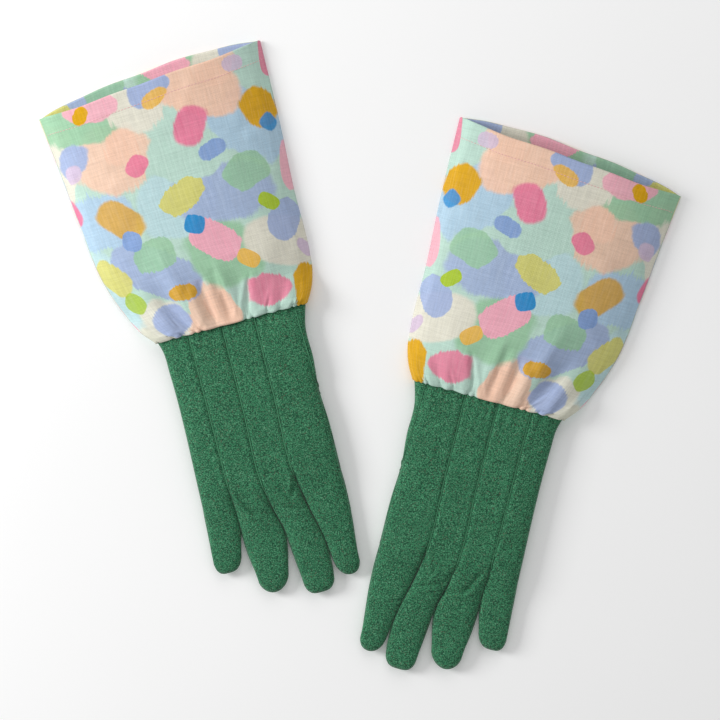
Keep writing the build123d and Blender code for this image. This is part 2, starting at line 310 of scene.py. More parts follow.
def thicken(piece: bpy.types.Object, thickness: float, inside_slot: int = 0) -> None:
    """Gives cloth its thickness, inwards from its outer face.

    Args:
        piece: The cloth.
        thickness: In millimetres.
        inside_slot: How many material slots further on the inner face takes its finish from.
    """
    solid = piece.modifiers.new("thickness", "SOLIDIFY")
    solid.thickness = thickness * MM
    solid.offset = -1
    solid.material_offset = inside_slot
    apply_modifiers(piece)
    points = read_points(piece.data)
    points[:, 2] = np.maximum(points[:, 2], 5e-5)
    write_points(piece.data, points)


def join(name: str, pieces: Sequence[bpy.types.Object]) -> bpy.types.Object:
    """Joins objects into one piece of that name."""
    only(pieces[0])
    for piece in pieces:
        piece.select_set(True)
    bpy.ops.object.join()
    joined = bpy.context.object
    joined.name = joined.data.name = name
    return joined


def flat_cut(x: float = 0.0, y: float = 0.0) -> Callable[[Points, Points], tuple[Points, Points]]:
    """A cut for plain cloth, whose pattern doesn't follow it."""
    return lambda u, v: (x + 100 * u, y + 100 * v)


# ------------------------------------------------------------------------------------------------ shader nodes


class Nodes:
    """Adds and joins the nodes of one tree."""

    def __init__(self, tree: bpy.types.NodeTree) -> None:
        """Keeps the tree."""
        self.tree = tree

    def add(self, kind: str, inputs: dict | None = None, **settings: object) -> bpy.types.Node:
        """Adds a node.

        Args:
            kind: The node's type, without ShaderNode in front.
            inputs: For each input, by name or number, a value or the output that feeds it.
            settings: The node's own settings.

        Returns:
            The node.
        """
        prefix = "" if kind.startswith("Node") else "ShaderNode"
        node = self.tree.nodes.new(prefix + kind)
        for key, value in settings.items():
            setattr(node, key, value)
        for key, value in (inputs or {}).items():
            if isinstance(value, bpy.types.NodeSocket):
                self.tree.links.new(value, node.inputs[key])
            else:
                node.inputs[key].default_value = value
        return node

    def math(self, operation: str, *values: object, clamp: bool = False) -> bpy.types.NodeSocket:
        """Result of a Math node."""
        return self.add("Math", dict(enumerate(values)), operation=operation, use_clamp=clamp).outputs[0]

    def vector(self, operation: str, *values: object) -> bpy.types.NodeSocket:
        """Result of a Vector Math node, the number for a dot product or a length."""
        node = self.add("VectorMath", dict(enumerate(values)), operation=operation)
        return node.outputs["Value" if operation in ("DOT_PRODUCT", "LENGTH") else "Vector"]

    def mix(self, share: object, first: object, second: object, blend: str = "MIX") -> bpy.types.NodeSocket:
        """Colour mixed from two."""
        node = self.add("Mix", data_type="RGBA", blend_type=blend)
        for socket, value in zip((node.inputs[0], node.inputs[6], node.inputs[7]), (share, first, second)):
            if isinstance(value, bpy.types.NodeSocket):
                self.tree.links.new(value, socket)
            else:
                socket.default_value = (*value, 1) if isinstance(value, tuple) and len(value) == 3 else value
        return node.outputs[2]

    def between(self, value: object, low: float, high: float) -> bpy.types.NodeSocket:
        """Share of the way from low to high, eased, which may run backwards."""
        sockets = {0: value, 1: min(low, high), 2: max(low, high), 3: float(low > high), 4: float(low < high)}
        return self.add("MapRange", sockets, interpolation_type="SMOOTHSTEP").outputs[0]

    def noise(self, vector: object, scale: float, detail: float = 2.0, rough: float = 0.5) -> bpy.types.Node:
        """A noise texture."""
        sockets = {"Vector": vector, "Scale": scale, "Detail": detail, "Roughness": rough}
        return self.add("TexNoise", sockets)


def effect(name: str, inputs: dict[str, str], outputs: dict[str, str]) -> tuple[bpy.types.NodeTree, Nodes]:
    """Starts a shader node group.

    Args:
        name: Name of the effect.
        inputs: Each input's socket type by name, without NodeSocket in front.
        outputs: The same for the outputs.

    Returns:
        The group's tree and a Nodes for it, which holds nodes named In and Out.
    """
    tree = bpy.data.node_groups.new(name, "ShaderNodeTree")
    for sockets, direction in ((inputs, "INPUT"), (outputs, "OUTPUT")):
        for socket, kind in sockets.items():
            tree.interface.new_socket(socket, in_out=direction, socket_type=f"NodeSocket{kind}")
    nodes = Nodes(tree)
    nodes.add("NodeGroupInput", name="In")
    nodes.add("NodeGroupOutput", name="Out")
    return tree, nodes


class Effects:
    """The effects that more than one finish uses, each built once."""

    def __init__(self) -> None:
        """Builds the groups."""
        self.flecks = self._flecks()
        self.weave = self._weave()
        self.dab = self._dab()

    @staticmethod
    def _flecks() -> bpy.types.NodeTree:
        """Small irregular flecks: a mask that is 1 on a fleck."""
        takes = {"Vector": "Vector", "Scale": "Float", "Amount": "Float"}
        tree, nodes = effect("flecks", takes, {"Mask": "Float"})
        given, out = tree.nodes["In"].outputs, tree.nodes["Out"].inputs
        grain = nodes.add("TexNoise", {"Vector": given["Vector"], "Scale": given["Scale"], "Detail": 1.5})
        edge = nodes.math("SUBTRACT", 0.72, nodes.math("MULTIPLY", given["Amount"], 0.3))
        over = nodes.math("SUBTRACT", grain.outputs["Fac"], edge)
        tree.links.new(nodes.between(over, 0.0, 0.12), out["Mask"])
        return tree

    @staticmethod
    def _weave() -> bpy.types.NodeTree:
        """Plain weave of uneven yarns, by the cloth's own cut: its height, and how light each yarn is."""
        sockets = {"Cut": "Vector", "Pitch": "Float"}
        tree, nodes = effect("weave", sockets, {"Height": "Float", "Yarn": "Float"})
        given, out = tree.nodes["In"].outputs, tree.nodes["Out"].inputs
        warped = nodes.noise(given["Cut"], 90, 2)
        drift = nodes.vector("SCALE", warped.outputs["Color"])
        drift.node.inputs["Scale"].default_value = 0.0022
        place = nodes.add("SeparateXYZ", {0: nodes.vector("ADD", given["Cut"], drift)})
        turns = [
            nodes.math("MULTIPLY", nodes.math("DIVIDE", place.outputs[i], given["Pitch"]), np.pi) for i in (0, 1)
        ]
        warp, weft = (nodes.math("ABSOLUTE", nodes.math("SINE", turn)) for turn in turns)
        over = nodes.math("SINE", nodes.math("ADD", *turns))
        height = nodes.math("ADD", nodes.math("MAXIMUM", warp, weft), nodes.math("MULTIPLY", over, 0.2))
        tree.links.new(height, out["Height"])
        slubs = []
        for stretch in ((900, 60, 1), (60, 900, 1)):
            long = nodes.add("Mapping", {"Vector": given["Cut"], "Scale": stretch})
            slubs.append(nodes.noise(long.outputs[0], 1, 1).outputs["Fac"])
        tree.links.new(nodes.math("MULTIPLY", nodes.math("ADD", *slubs), 0.5), out["Yarn"])
        return tree

    @staticmethod
    def _dab() -> bpy.types.NodeTree:
        """One dab of paint laid over what is under it, with ragged edges and brush streaks."""
        sockets = {name: "Vector" for name in ("Cut", "Centre", "Across", "Along")}
        sockets |= {name: "Color" for name in ("Under", "Paint")}
        numbers = ("Warp across", "Warp along", "Streak", "Ragged", "Square", "Dry", "Soft", "Cover")
        sockets |= {name: "Float" for name in numbers}
        tree, nodes = effect("paint_dab", sockets, {"Color": "Color"})
        given, out = tree.nodes["In"].outputs, tree.nodes["Out"].inputs
        away = nodes.vector("SUBTRACT", given["Cut"], given["Centre"])
        squares = []
        for axis, warp in (("Across", "Warp across"), ("Along", "Warp along")):
            place = nodes.vector("DOT_PRODUCT", away, given[axis])
            place = nodes.math("MULTIPLY_ADD", given[warp], given["Ragged"], place)
            squares.append(nodes.math("MULTIPLY", place, place))
        circle = nodes.math("ADD", *squares)
        block = nodes.math("ADD", *(nodes.math("MULTIPLY", square, square) for square in squares))
        off = nodes.add("Mix", {0: given["Square"], 2: circle, 3: block}, data_type="FLOAT").outputs[0]
        dry = nodes.math("MULTIPLY", given["Dry"], nodes.math("MULTIPLY_ADD", squares[1], 1.1, 0.12))
        dried = nodes.math("MULTIPLY_ADD", given["Streak"], dry, off)
        depth = nodes.math("DIVIDE", nodes.math("SUBTRACT", 1.0, dried), given["Soft"])
        mask = nodes.math("MULTIPLY", nodes.between(depth, -1.0, 1.0), given["Cover"])
        streaked = nodes.add("HueSaturation", {
            "Color": given["Paint"],
            "Value": nodes.math("MULTIPLY_ADD", given["Streak"], 0.05, 1.0),
            "Saturation": nodes.math("MULTIPLY_ADD", given["Streak"], -0.13, 1.0),
        })
        tree.links.new(nodes.mix(mask, given["Under"], streaked.outputs[0]), out["Color"])
        return tree


def new_material(
    name: str, roughness: float, sheen: float
) -> tuple[bpy.types.Material, Nodes, bpy.types.Node]:
    """Starts a cloth material.

    Args:
        name: Name of the material.
        roughness: The shader's roughness.
        sheen: Weight of the soft glow that short fibres give.

    Returns:
        The material, a Nodes for its tree, and its Principled shader.
    """
    material = bpy.data.materials.new(name)
    material.use_nodes = True
    nodes = Nodes(material.node_tree)
    shader = material.node_tree.nodes["Principled BSDF"]
    shader.inputs["Roughness"].default_value = roughness
    shader.inputs["Sheen Weight"].default_value = sheen
    shader.inputs["Sheen Roughness"].default_value = 0.5
    shader.inputs["Specular IOR Level"].default_value = 0.2
    return material, nodes, shader


def linear(red: int, green: int, blue: int) -> Colour:
    """The shader's colour for one given as a screen shows it, 0 to 255."""
    shares = (red / 255, green / 255, blue / 255)
    return tuple(c / 12.92 if c < 0.0404 else ((c + 0.055) / 1.055) ** 2.4 for c in shares)


# ------------------------------------------------------------------------------------------------ finishes


class Paint(Enum):
    """The colours of the print."""

    MUSTARD = (222, 168, 20)
    AMBER = (240, 190, 90)
    PINK = (238, 128, 160)
    ROSE = (246, 178, 194)
    PEACH = (247, 205, 180)
    CREAM = (232, 227, 211)
    MINT = (192, 222, 208)
    SAGE = (160, 204, 168)
    AQUA = (192, 222, 226)
    SKY = (180, 208, 230)
    PERIWINKLE = (168, 184, 220)
    CORNFLOWER = (140, 168, 216)
    LILAC = (216, 196, 218)
    BLUE = (52, 146, 208)
    LIME = (176, 204, 56)
    CITRON = (218, 214, 122)

    def shade(self) -> tuple[float, float, float, float]:
        """The paint's colour for a shader."""
        return (*linear(*self.value), 1.0)


@dataclass(frozen=True)
class Dab:
    """One dab of paint on the flat cloth: its middle and half sizes in millimetres, and how it was laid."""

    paint: Paint
    x: float
    y: float
    half_x: float
    half_y: float
    turn: float = 0.0  # degrees
    square: float = 0.4  # from 0, an oval, to 1, a block
    ragged: float = 0.5
    dry: float = 0.25  # how much the brush's hairs show at its ends
    soft: float = 0.07  # how slowly its edge fades
    cover: float = 1.0  # how little of what is under it shows through


@dataclass(frozen=True)
class SuedeCloth:
    """Flecked, slightly napped suede-look cloth."""

    name: str = "green_suede"
    base: Colour = linear(58, 128, 90)
    dark: Colour = linear(20, 66, 46)
    light: Colour = linear(108, 172, 134)
    brown: Colour = linear(96, 96, 78)

    def build(self, effects: Effects) -> bpy.types.Material:
        """Makes the material."""
        material, nodes, shader = new_material(self.name, 0.9, 0.12)
        place = nodes.add("TexCoord").outputs["Object"]
        colour = self.base
        cloudy = nodes.noise(place, 60, 2).outputs["Fac"]
        colour = nodes.mix(nodes.between(cloudy, 0.3, 0.75), colour, tuple(c * 1.14 for c in colour))
        for number, (tone, scale, amount) in enumerate(
            ((self.light, 1250, 0.62), (self.dark, 1350, 0.86), (self.dark, 850, 0.58), (self.brown, 1100, 0.38))
        ):
            moved = nodes.add("Mapping", {"Vector": place, "Location": (number * 0.37, number * 0.61, 0)})
            flecks = nodes.add("Group", node_tree=effects.flecks)
            nodes.tree.links.new(moved.outputs[0], flecks.inputs["Vector"])
            flecks.inputs["Scale"].default_value = scale
            flecks.inputs["Amount"].default_value = amount
            colour = nodes.mix(nodes.math("MULTIPLY", flecks.outputs[0], 0.85), colour, tone)
        nodes.tree.links.new(colour, shader.inputs["Base Color"])
        nap = nodes.noise(place, 1400, 3, 0.7).outputs["Fac"]
        bump = nodes.add("Bump", {"Height": nap, "Strength": 0.35, "Distance": 0.0004})
        nodes.tree.links.new(bump.outputs[0], shader.inputs["Normal"])
        return material


@dataclass(frozen=True)
class PrintedLinen:
    """Plain-weave linen, painted all over with dabs."""

    name: str
    dabs: tuple[Dab, ...]
    ground: Paint = Paint.MINT
    pitch: float = 0.00095

    def build(self, effects: Effects) -> bpy.types.Material:
        """Makes the material."""
        material, nodes, shader = new_material(self.name, 0.85, 0.08)
        cut = nodes.add("UVMap", uv_map="cut").outputs[0]
        coarse = nodes.noise(cut, 42, 2, 0.6).outputs["Color"]
        fine = nodes.noise(cut, 190, 3, 0.7).outputs["Color"]
        wander = nodes.vector("SUBTRACT", coarse, (0.5, 0.5, 0.5))
        fray = nodes.vector("SUBTRACT", fine, (0.5, 0.5, 0.5))
        warp = nodes.vector("ADD", wander, nodes.vector("MULTIPLY", fray, (0.16, 0.16, 0)))
        warp = nodes.add("SeparateXYZ", {0: nodes.vector("MULTIPLY", warp, (1.7, 1.7, 0))}).outputs
        long = nodes.add("Mapping", {"Vector": cut, "Scale": (620, 48, 1), "Rotation": (0, 0, 0.12)})
        streak = nodes.math("SUBTRACT", nodes.noise(long.outputs[0], 1, 3, 0.6).outputs["Fac"], 0.5)
        streak = nodes.math("MULTIPLY", streak, 2.2)
        plane = nodes.vector("ADD", cut, (0, 0, 0))
        colour = self.ground.shade()
        for dab in self.dabs:
            laid = nodes.add("Group", node_tree=effects.dab)
            flows = {
                "Under": colour, "Cut": plane, "Warp across": warp[0], "Warp along": warp[1], "Streak": streak
            }
            for socket, value in flows.items():
                if isinstance(value, bpy.types.NodeSocket):
                    nodes.tree.links.new(value, laid.inputs[socket])
                else:
                    laid.inputs[socket].default_value = value
            laid.inputs["Paint"].default_value = dab.paint.shade()
            laid.inputs["Centre"].default_value = (dab.x * MM, dab.y * MM, 0)
            turn = np.radians(dab.turn)
            laid.inputs["Across"].default_value = Vector((np.cos(turn), np.sin(turn), 0)) / (dab.half_x * MM)
            laid.inputs["Along"].default_value = Vector((-np.sin(turn), np.cos(turn), 0)) / (dab.half_y * MM)
            laid.inputs["Ragged"].default_value = dab.ragged
            laid.inputs["Square"].default_value = dab.square
            laid.inputs["Dry"].default_value = dab.dry
            laid.inputs["Soft"].default_value = dab.soft
            laid.inputs["Cover"].default_value = dab.cover
            colour = laid.outputs[0]
        weave = nodes.add("Group", node_tree=effects.weave)
        nodes.tree.links.new(cut, weave.inputs["Cut"])
        weave.inputs["Pitch"].default_value = self.pitch
        yarn = nodes.math("MULTIPLY_ADD", nodes.math("SUBTRACT", weave.outputs["Yarn"], 0.5), 0.5, 0.98)
        # Painted shade: the colour is darkened in the hollows of the weave, by its height, on top of the yarns'
        # own uneven tone.
        yarn_tone_and_weave_shade = nodes.math("MULTIPLY_ADD", nodes.math("SUBTRACT", weave.outputs["Height"], 0.8), 0.08, yarn)
        colour = nodes.add("HueSaturation", {"Color": colour, "Value": yarn_tone_and_weave_shade}).outputs[0]
        nodes.tree.links.new(colour, shader.inputs["Base Color"])
        bump = nodes.add("Bump", {"Height": weave.outputs["Height"], "Strength": 0.3, "Distance": 0.0004})
        nodes.tree.links.new(bump.outputs[0], shader.inputs["Normal"])
        return material


@dataclass(frozen=True)
class LinenReverse:
    """The wrong side of the printed linen, where the paint shows through palely."""

    name: str = "linen_reverse"
    ground: Colour = linear(238, 236, 226)
    tints: tuple[Paint, ...] = (Paint.ROSE, Paint.SAGE, Paint.SKY, Paint.CITRON)

    def build(self, effects: Effects) -> bpy.types.Material:
        """Makes the material."""
        material, nodes, shader = new_material(self.name, 0.9, 0.08)
        cut = nodes.add("UVMap", uv_map="cut").outputs[0]
        colour = self.ground
        for number, tint in enumerate(self.tints):
            moved = nodes.add("Mapping", {"Vector": cut, "Location": (number * 0.31, number * 0.17, 0)})
            patch = nodes.between(nodes.noise(moved.outputs[0], 26, 1).outputs["Fac"], 0.54, 0.58)
            colour = nodes.mix(nodes.math("MULTIPLY", patch, 0.45), colour, tint.shade())
        weave = nodes.add("Group", node_tree=effects.weave)
        nodes.tree.links.new(cut, weave.inputs["Cut"])
        weave.inputs["Pitch"].default_value = 0.0011
        yarn = nodes.math("MULTIPLY_ADD", nodes.math("SUBTRACT", weave.outputs["Yarn"], 0.5), 0.3, 1.0)
        colour = nodes.add("HueSaturation", {"Color": colour, "Value": yarn}).outputs[0]
        nodes.tree.links.new(colour, shader.inputs["Base Color"])
        bump = nodes.add("Bump", {"Height": weave.outputs["Height"], "Strength": 0.35, "Distance": 0.0003})
        nodes.tree.links.new(bump.outputs[0], shader.inputs["Normal"])
        return material


@dataclass(frozen=True)
class Thread:
    """Twisted sewing thread."""

    name: str
    colour: Colour

    def build(self, effects: Effects) -> bpy.types.Material:
        """Makes the material."""
        material, nodes, shader = new_material(self.name, 0.7, 0.2)
        place = nodes.add("TexCoord").outputs["Object"]
        flecks = nodes.add("Group", node_tree=effects.flecks)
        nodes.tree.links.new(place, flecks.inputs["Vector"])
        flecks.inputs["Scale"].default_value = 1600
        flecks.inputs["Amount"].default_value = 0.6
        colour = nodes.mix(flecks.outputs[0], self.colour, tuple(0.72 * c for c in self.colour))
        nodes.tree.links.new(colour, shader.inputs["Base Color"])
        twist = nodes.add("TexWave", {"Vector": place, "Scale": 900.0}, bands_direction="DIAGONAL")
        bump = nodes.add("Bump", {"Height": twist.outputs["Fac"], "Strength": 0.4, "Distance": 0.0001})
        nodes.tree.links.new(bump.outputs[0], shader.inputs["Normal"])
        return material


@dataclass(frozen=True)
class Tape:
    """Woven tape or elastic, ribbed along its length."""

    name: str
    colour: Colour
    ribs: float  # scale of the ribs

    def build(self, effects: Effects) -> bpy.types.Material:
        """Makes the material."""
        material, nodes, shader = new_material(self.name, 0.75, 0.1)
        cut = nodes.add("UVMap", uv_map="cut").outputs[0]
        ribs = nodes.add("TexWave", {"Vector": cut, "Scale": self.ribs, "Distortion": 0.6}, bands_direction="Y")
        # Painted shade: the colour darkens in the grooves between the ribs, by the same wave that gives their
        # bump.
        colour = nodes.mix(ribs.outputs["Fac"], tuple(0.7 * c for c in self.colour), self.colour)
        nodes.tree.links.new(colour, shader.inputs["Base Color"])
        bump = nodes.add("Bump", {"Height": ribs.outputs["Fac"], "Strength": 0.5, "Distance": 0.0003})
        nodes.tree.links.new(bump.outputs[0], shader.inputs["Normal"])
        return material


def scatter() -> tuple[Dab, ...]:
    """Lays out a plain all-over print, from large pale dabs to small bright ones.

    Each size has its own staggered rows, and each row takes the paints in turn, so no place is special.

    Returns:
        The dabs, from the first painted to the last.
    """
    chance = np.random.default_rng(41)
    pale = (Paint.SAGE, Paint.SKY, Paint.CREAM, Paint.AQUA, Paint.PEACH, Paint.PERIWINKLE, Paint.MINT)
    middling = (
        Paint.ROSE, Paint.MUSTARD, Paint.PERIWINKLE, Paint.CITRON, Paint.PEACH, Paint.SAGE, Paint.PINK
    )
    bright = (Paint.LIME, Paint.PINK, Paint.MUSTARD, Paint.CORNFLOWER, Paint.AMBER, Paint.BLUE, Paint.LILAC)
    dabs = []
    for paints, step, size, offset in ((pale, 44, 28, 0.0), (middling, 42, 16, 0.3), (bright, 46, 8, 0.75)):
        for row in range(int(230 / step)):
            for column in range(int(210 / step)):
                across, down = column + 0.5 * (row % 2) + offset, row + offset
                x, y = np.array([-108 + step * across, step * down]) + chance.uniform(-7, 7, 2)
                longer, shorter = size * chance.uniform(0.85, 1.25), size * chance.uniform(0.6, 0.9)
                paint = paints[(3 * row + 2 * column) % len(paints)]
                dabs.append(Dab(
                    paint, x, y, longer, shorter,
                    turn=chance.uniform(-80, 80),
                    square=chance.uniform(0.1, 0.6),
                    ragged=chance.uniform(0.1, 0.7),
                    dry=chance.uniform(0, 0.7),
                    soft=chance.uniform(0.05, 0.3),
                    cover=chance.uniform(0.85, 1.0),
                ))
    return tuple(dabs)


@dataclass
class Finishes:
    """Every material of the pair."""

    suede: bpy.types.Material
    linen: bpy.types.Material
    reverse: bpy.types.Material
    hem_thread: bpy.types.Material
    seam_thread: bpy.types.Material
    elastic: bpy.types.Material
    binding: bpy.types.Material

    @classmethod
    def build(cls) -> Finishes:
        """Makes every material."""
        effects = Effects()
        return cls(
            suede=SuedeCloth().build(effects),
            linen=PrintedLinen("printed_linen", scatter()).build(effects),
            reverse=LinenReverse().build(effects),
            hem_thread=Thread("pink_hem_thread", linear(240, 190, 190)).build(effects),
            seam_thread=Thread("green_seam_thread", linear(68, 136, 98)).build(effects),
            elastic=Tape("white_elastic", linear(236, 236, 230), 220).build(effects),
            binding=Tape("green_binding", linear(52, 98, 74), 300).build(effects),
        )


# ------------------------------------------------------------------------------------------------ hand

Edge = tuple[tuple[float, float], ...]

LITTLE_EDGE: Edge = ((-4, -57), (8, -53.3), (25, -52.6), (112, -54.4), (140, -55.6), (158, -56.8))
LITTLE_RING: Edge = ((-4, -32), (60, -32.4), (116, -32.9), (146, -32.5))
RING_MIDDLE: Edge = ((-4, -7.3), (60, -8), (122, -8.7), (138, -6.2), (155, -2.1))
MIDDLE_INDEX: Edge = ((-4, 16.8), (60, 15.8), (116, 14.9), (140, 18.4), (172, 24.8))
GUSSET_SEAM: Edge = ((-4, 46.6), (26, 47.0), (40, 47.5), (60, 47.8), (80, 48.2))
THUMB_EDGE: Edge = (
    (-4, 56.5), (8, 52.6), (16, 50.6), (40, 50.0), (62, 48.2), (88, 49.1), (116, 48.7), (150, 47.8), (184, 44.4)
)


@dataclass(frozen=True)
class FingerCut:
    """The cloth of one finger: its two edges by reach, where they part from the neighbours, and its tip."""

    name: str
    left: Edge
    right: Edge
    left_parts: float
    right_parts: float
    tip_start: float
    tip_depth: float
    tip_shift: float  # of the tip to the thumb side
    crown: float  # height of the finger
    blunt: float = 2.5  # how square the tip is

    def plan(self, u: Points, w: Points) -> tuple[Points, Points]:
        """Where the cloth is in plan.

        Args:
            u: Share across, from the little-finger side.
            w: Share of the way from the wrist to the tip.

        Returns:
            The places across and the reaches.
        """
        reach = w * self.tip_start
        swell = smooth(reach, self.tip_start - 1.6 * self.tip_depth, self.tip_start) * w
        round_end = dome(2 * u - 1, self.blunt, 2.3) * swell
        x = (1 - u) * through(self.left, reach) + u * through(self.right, reach)
        return x + self.tip_shift * round_end, reach + self.tip_depth * round_end

    def shut(self, w: Points) -> Points:
        """How far the tip has closed: 0 along the finger and 1 at its very end."""
        reach = w * self.tip_start
        return np.clip((reach - self.tip_start + 11) / 11, 0, 1)


@dataclass(frozen=True)
class HandShape:
    """The form that the cloth of the hand and fingers lies in."""

    crown: float = 12.4
    side: float = 6.4  # height of the seams along both sides
    finger_side: float = 5.4
    finger_front_side: float = 3.6
    knuckles: float = 116.0
    groove: float = 0.9
    little: Edge = LITTLE_EDGE
    thumb: Edge = THUMB_EDGE
    creases: tuple[Crease, ...] = (
        Crease((-30, -118), (-18, -142), 1.6, 2.0),
        Crease((-27, -134), (-4, -145), 1.3, 2.2),
        Crease((-14, -122), (-6, -136), 1.0, 1.7),
        Crease((17, -116), (9, -134), 1.5, 1.8),
        Crease((-5, -136), (20, -146), 1.5, 2.0),
        Crease((4, -126), (10, -140), 0.8, 1.6),
        Crease((-7, -127), (-2, -142), 1.1, 1.6),
        Crease((-50, -96), (-36, -101), 0.5, 2.4),
        Crease((20, -112), (46, -124), 0.6, 3.0),
        Crease((-28, -84), (-10, -92), 0.5, 3.0),
        Crease((-48, -22), (-34, -30), 0.6, 2.2),
        Crease((24, -20), (46, -36), 0.6, 3.0),
        Crease((28, -168), (44, -162), 0.6, 2.0),
        Crease((-52, -150), (-38, -146), 0.5, 2.0),
    )

    def unevenness(self, x: Points, reach: Points) -> Points:
        """Small irregular height of limp cloth."""
        soft = 0.42 * ripple(x, reach, 17, 34, 3.1) + 0.16 * ripple(x, reach, 7, 9, 8.4)
        wrist = np.exp(-np.clip(reach, 0, None) / 11)
        gathers = 0.45 * wrist * np.sin(x * 0.95 + 1.4 * np.sin(x * 0.21))
        return soft + gathers + sum(c.height(x, -reach) for c in self.creases)

    def top(self, x: Points, reach: Points) -> Points:
        """Height of the back of the hand."""
        left, right = through(self.little, reach), through(self.thumb, reach)
        across = (2 * x - left - right) / (right - left)
        height = self.side + (self.crown - self.side) * dome(across, 7, 2.4)
        for line in (LITTLE_RING, RING_MIDDLE, MIDDLE_INDEX):
            off = x - through(line, reach)
            height -= self.groove * np.exp(-((off / 1.3) ** 2))
            height += 0.25 * np.exp(-(((np.abs(off) - 3.2) / 2.2) ** 2))
        return height


SHAPE = HandShape()

FINGER_CUTS = (
    FingerCut("little", LITTLE_EDGE, (*LITTLE_RING, (158, -35.6)), 120, 118, 157, 17, -2.6, 9.6, 3.2),
    FingerCut(
        "ring", (*LITTLE_RING, (166, -31.6), (181, -29.4)), (*RING_MIDDLE, (168, -3.4), (181, -6.6)),
        118, 124, 180, 16, -1.6, 10, 1.9
    ),
    FingerCut(
        "middle", (*RING_MIDDLE, (172, -0.4), (190, 1.4)), (*MIDDLE_INDEX, (182, 24.7), (190, 24.4)),
        124, 118, 190, 14.5, -0.6, 10, 3.4
    ),
    FingerCut("index", (*MIDDLE_INDEX, (184, 26.4)), THUMB_EDGE, 118, 120, 184, 13.5, 1.2, 9.6, 2.2),
)


def tucked(points: Points) -> Points:
    """Draws the hand's cloth in where it runs up inside the cuff."""
    share = np.clip(points[:, 1] / 3, 0, 1)
    x, y, z = points.T
    return np.stack([x * (1 - 0.045 * share), y, SHAPE.side + (z - SHAPE.side) * (1 - 0.25 * share)], axis=1)


@dataclass(frozen=True)
class Finger:
    """One finger: the strip of the back that runs into it, its front and the fourchette between them."""

    cut: FingerCut
    shape: HandShape = SHAPE
    overlap: float = 4.0  # of the front cloth under the palm's edge

    def back(self, u: Points, v: Points) -> Points:
        """Glove-frame points of the back cloth, whose share along runs from the tip to the wrist."""
        w = 1 - v * (1 + 3 / self.cut.tip_start)
        x, reach = self.cut.plan(u, np.clip(w, 0, 1))
        reach = np.where(w < 0, w * self.cut.tip_start, reach)
        w = np.clip(w, 0, 1)
        shut = self.cut.shut(w)
        hand = self.shape.top(x, reach)
        edge = self.shape.finger_side
        crown = self.cut.crown - 1.2 * smooth(w, 0.6, 1)
        finger = edge + (crown - edge) * dome(2 * u - 1, 2.6, 1.9) * dome(shut, 2.2, 1.7)
        parts = (1 - u) * self.cut.left_parts + u * self.cut.right_parts
        open_share = smooth(reach, parts - 10, parts + 24)
        z = hand + (finger - hand) * open_share
        rough = self.shape.unevenness(x, reach)
        inside = dome(2 * u - 1, 4, 1.5) * dome(shut, 3, 1.5)
        z = z + rough * (1 - open_share * (1 - inside))
        return tucked(np.stack([x, -reach, z], axis=1))

    def front(self, u: Points, v: Points) -> Points:
        """Glove-frame points of the front cloth, whose share along runs from the palm to the tip."""
        start = (self.shape.knuckles - self.overlap) / self.cut.tip_start
        w = start + v * (1 - start)
        x, reach = self.cut.plan(u, w)
        edge = self.shape.finger_front_side
        round_share = dome(2 * u - 1, 2.6, 1.9) * dome(self.cut.shut(w), 2.2, 1.7)
        z = edge - (edge - 0.5) * round_share
        z += 0.25 * ripple(x, reach, 11, 13, 5.7) * round_share
        flat = 1 - smooth(reach, self.shape.knuckles - self.overlap, self.shape.knuckles + 14)
        z = z + (0.9 - z) * flat
        return np.stack([x, -reach, np.maximum(z, 0.1)], axis=1)

    def wall(self, u: Points, v: Points) -> Points:
        """Glove-frame points of the fourchette: down the little-finger side, round the tip and back."""
        start = (self.shape.knuckles - self.overlap) / self.cut.tip_start
        first, last = 0.4, 0.6
        w = start + (1 - start) * np.where(u < first, u / first, np.where(u > last, (1 - u) / (1 - last), 1))
        across = np.clip((u - first) / (last - first), 0, 1)
        x, reach = self.cut.plan(across, w)
        low = self.shape.finger_front_side
        near = 1 - smooth(reach, self.shape.knuckles - self.overlap, self.shape.knuckles + 14)
        low = low + (0.9 - low) * near
        back_v = (1 - w) / (1 + 3 / self.cut.tip_start)
        high = self.back(across, back_v)[:, 2]
        out = 0.45 * np.sin(np.pi * v) * smooth(reach, self.shape.knuckles + 2, self.shape.knuckles + 20)
        side = np.where(u < first, -1.0, np.where(u > last, 1.0, 2 * across - 1))
        tip = np.where((u >= first) & (u <= last), dome(side, 2, 2), 0)
        return np.stack([x + side * out, -reach - tip * out, low + (high - low) * v], axis=1)


@dataclass(frozen=True)
class ThumbCut:
    """The thumb's pocket, folded flat under the palm: its root along the hand's side, and its tip."""

    root_start: float = 32.2  # reach
    root_end: float = 72.2
    inset: float = 1.0  # of the root from the side of the hand
    tip: tuple[float, float] = (17.5, 89.3)  # place across and reach of the middle of the round end
    tip_radius: float = 10.6
    top: float = 4.9
    bottom: float = 0.25
    side: float = 2.6

    def plan(self, u: Points, w: Points) -> tuple[Points, Points]:
        """Where the cloth is in plan, from the wrist-side edge across and from the root to the tip."""
        tip_x, tip_reach = self.tip
        near_x, far_x = through(THUMB_EDGE, np.array([self.root_start, self.root_end])) - self.inset
        run = np.array([tip_x - (near_x + far_x) / 2, tip_reach - (self.root_start + self.root_end) / 2])
        run /= np.hypot(*run)
        side = np.array([run[1], -run[0]])  # from the wrist-side edge to the far one
        half = self.tip_radius
        first = (near_x, self.root_start), (tip_x - side[0] * half, tip_reach - side[1] * half)
        last = (far_x, self.root_end), (tip_x + side[0] * half, tip_reach + side[1] * half)
        near = [a + (b - a) * w for a, b in zip(*first)]
        far = [a + (b - a) * w for a, b in zip(*last)]
        swell = smooth(w, 0.7, 1) * dome(2 * u - 1, 2.2, 2.1) * half
        x, reach = (a + (b - a) * u for a, b in zip(near, far))
        return x + run[0] * swell, reach + run[1] * swell


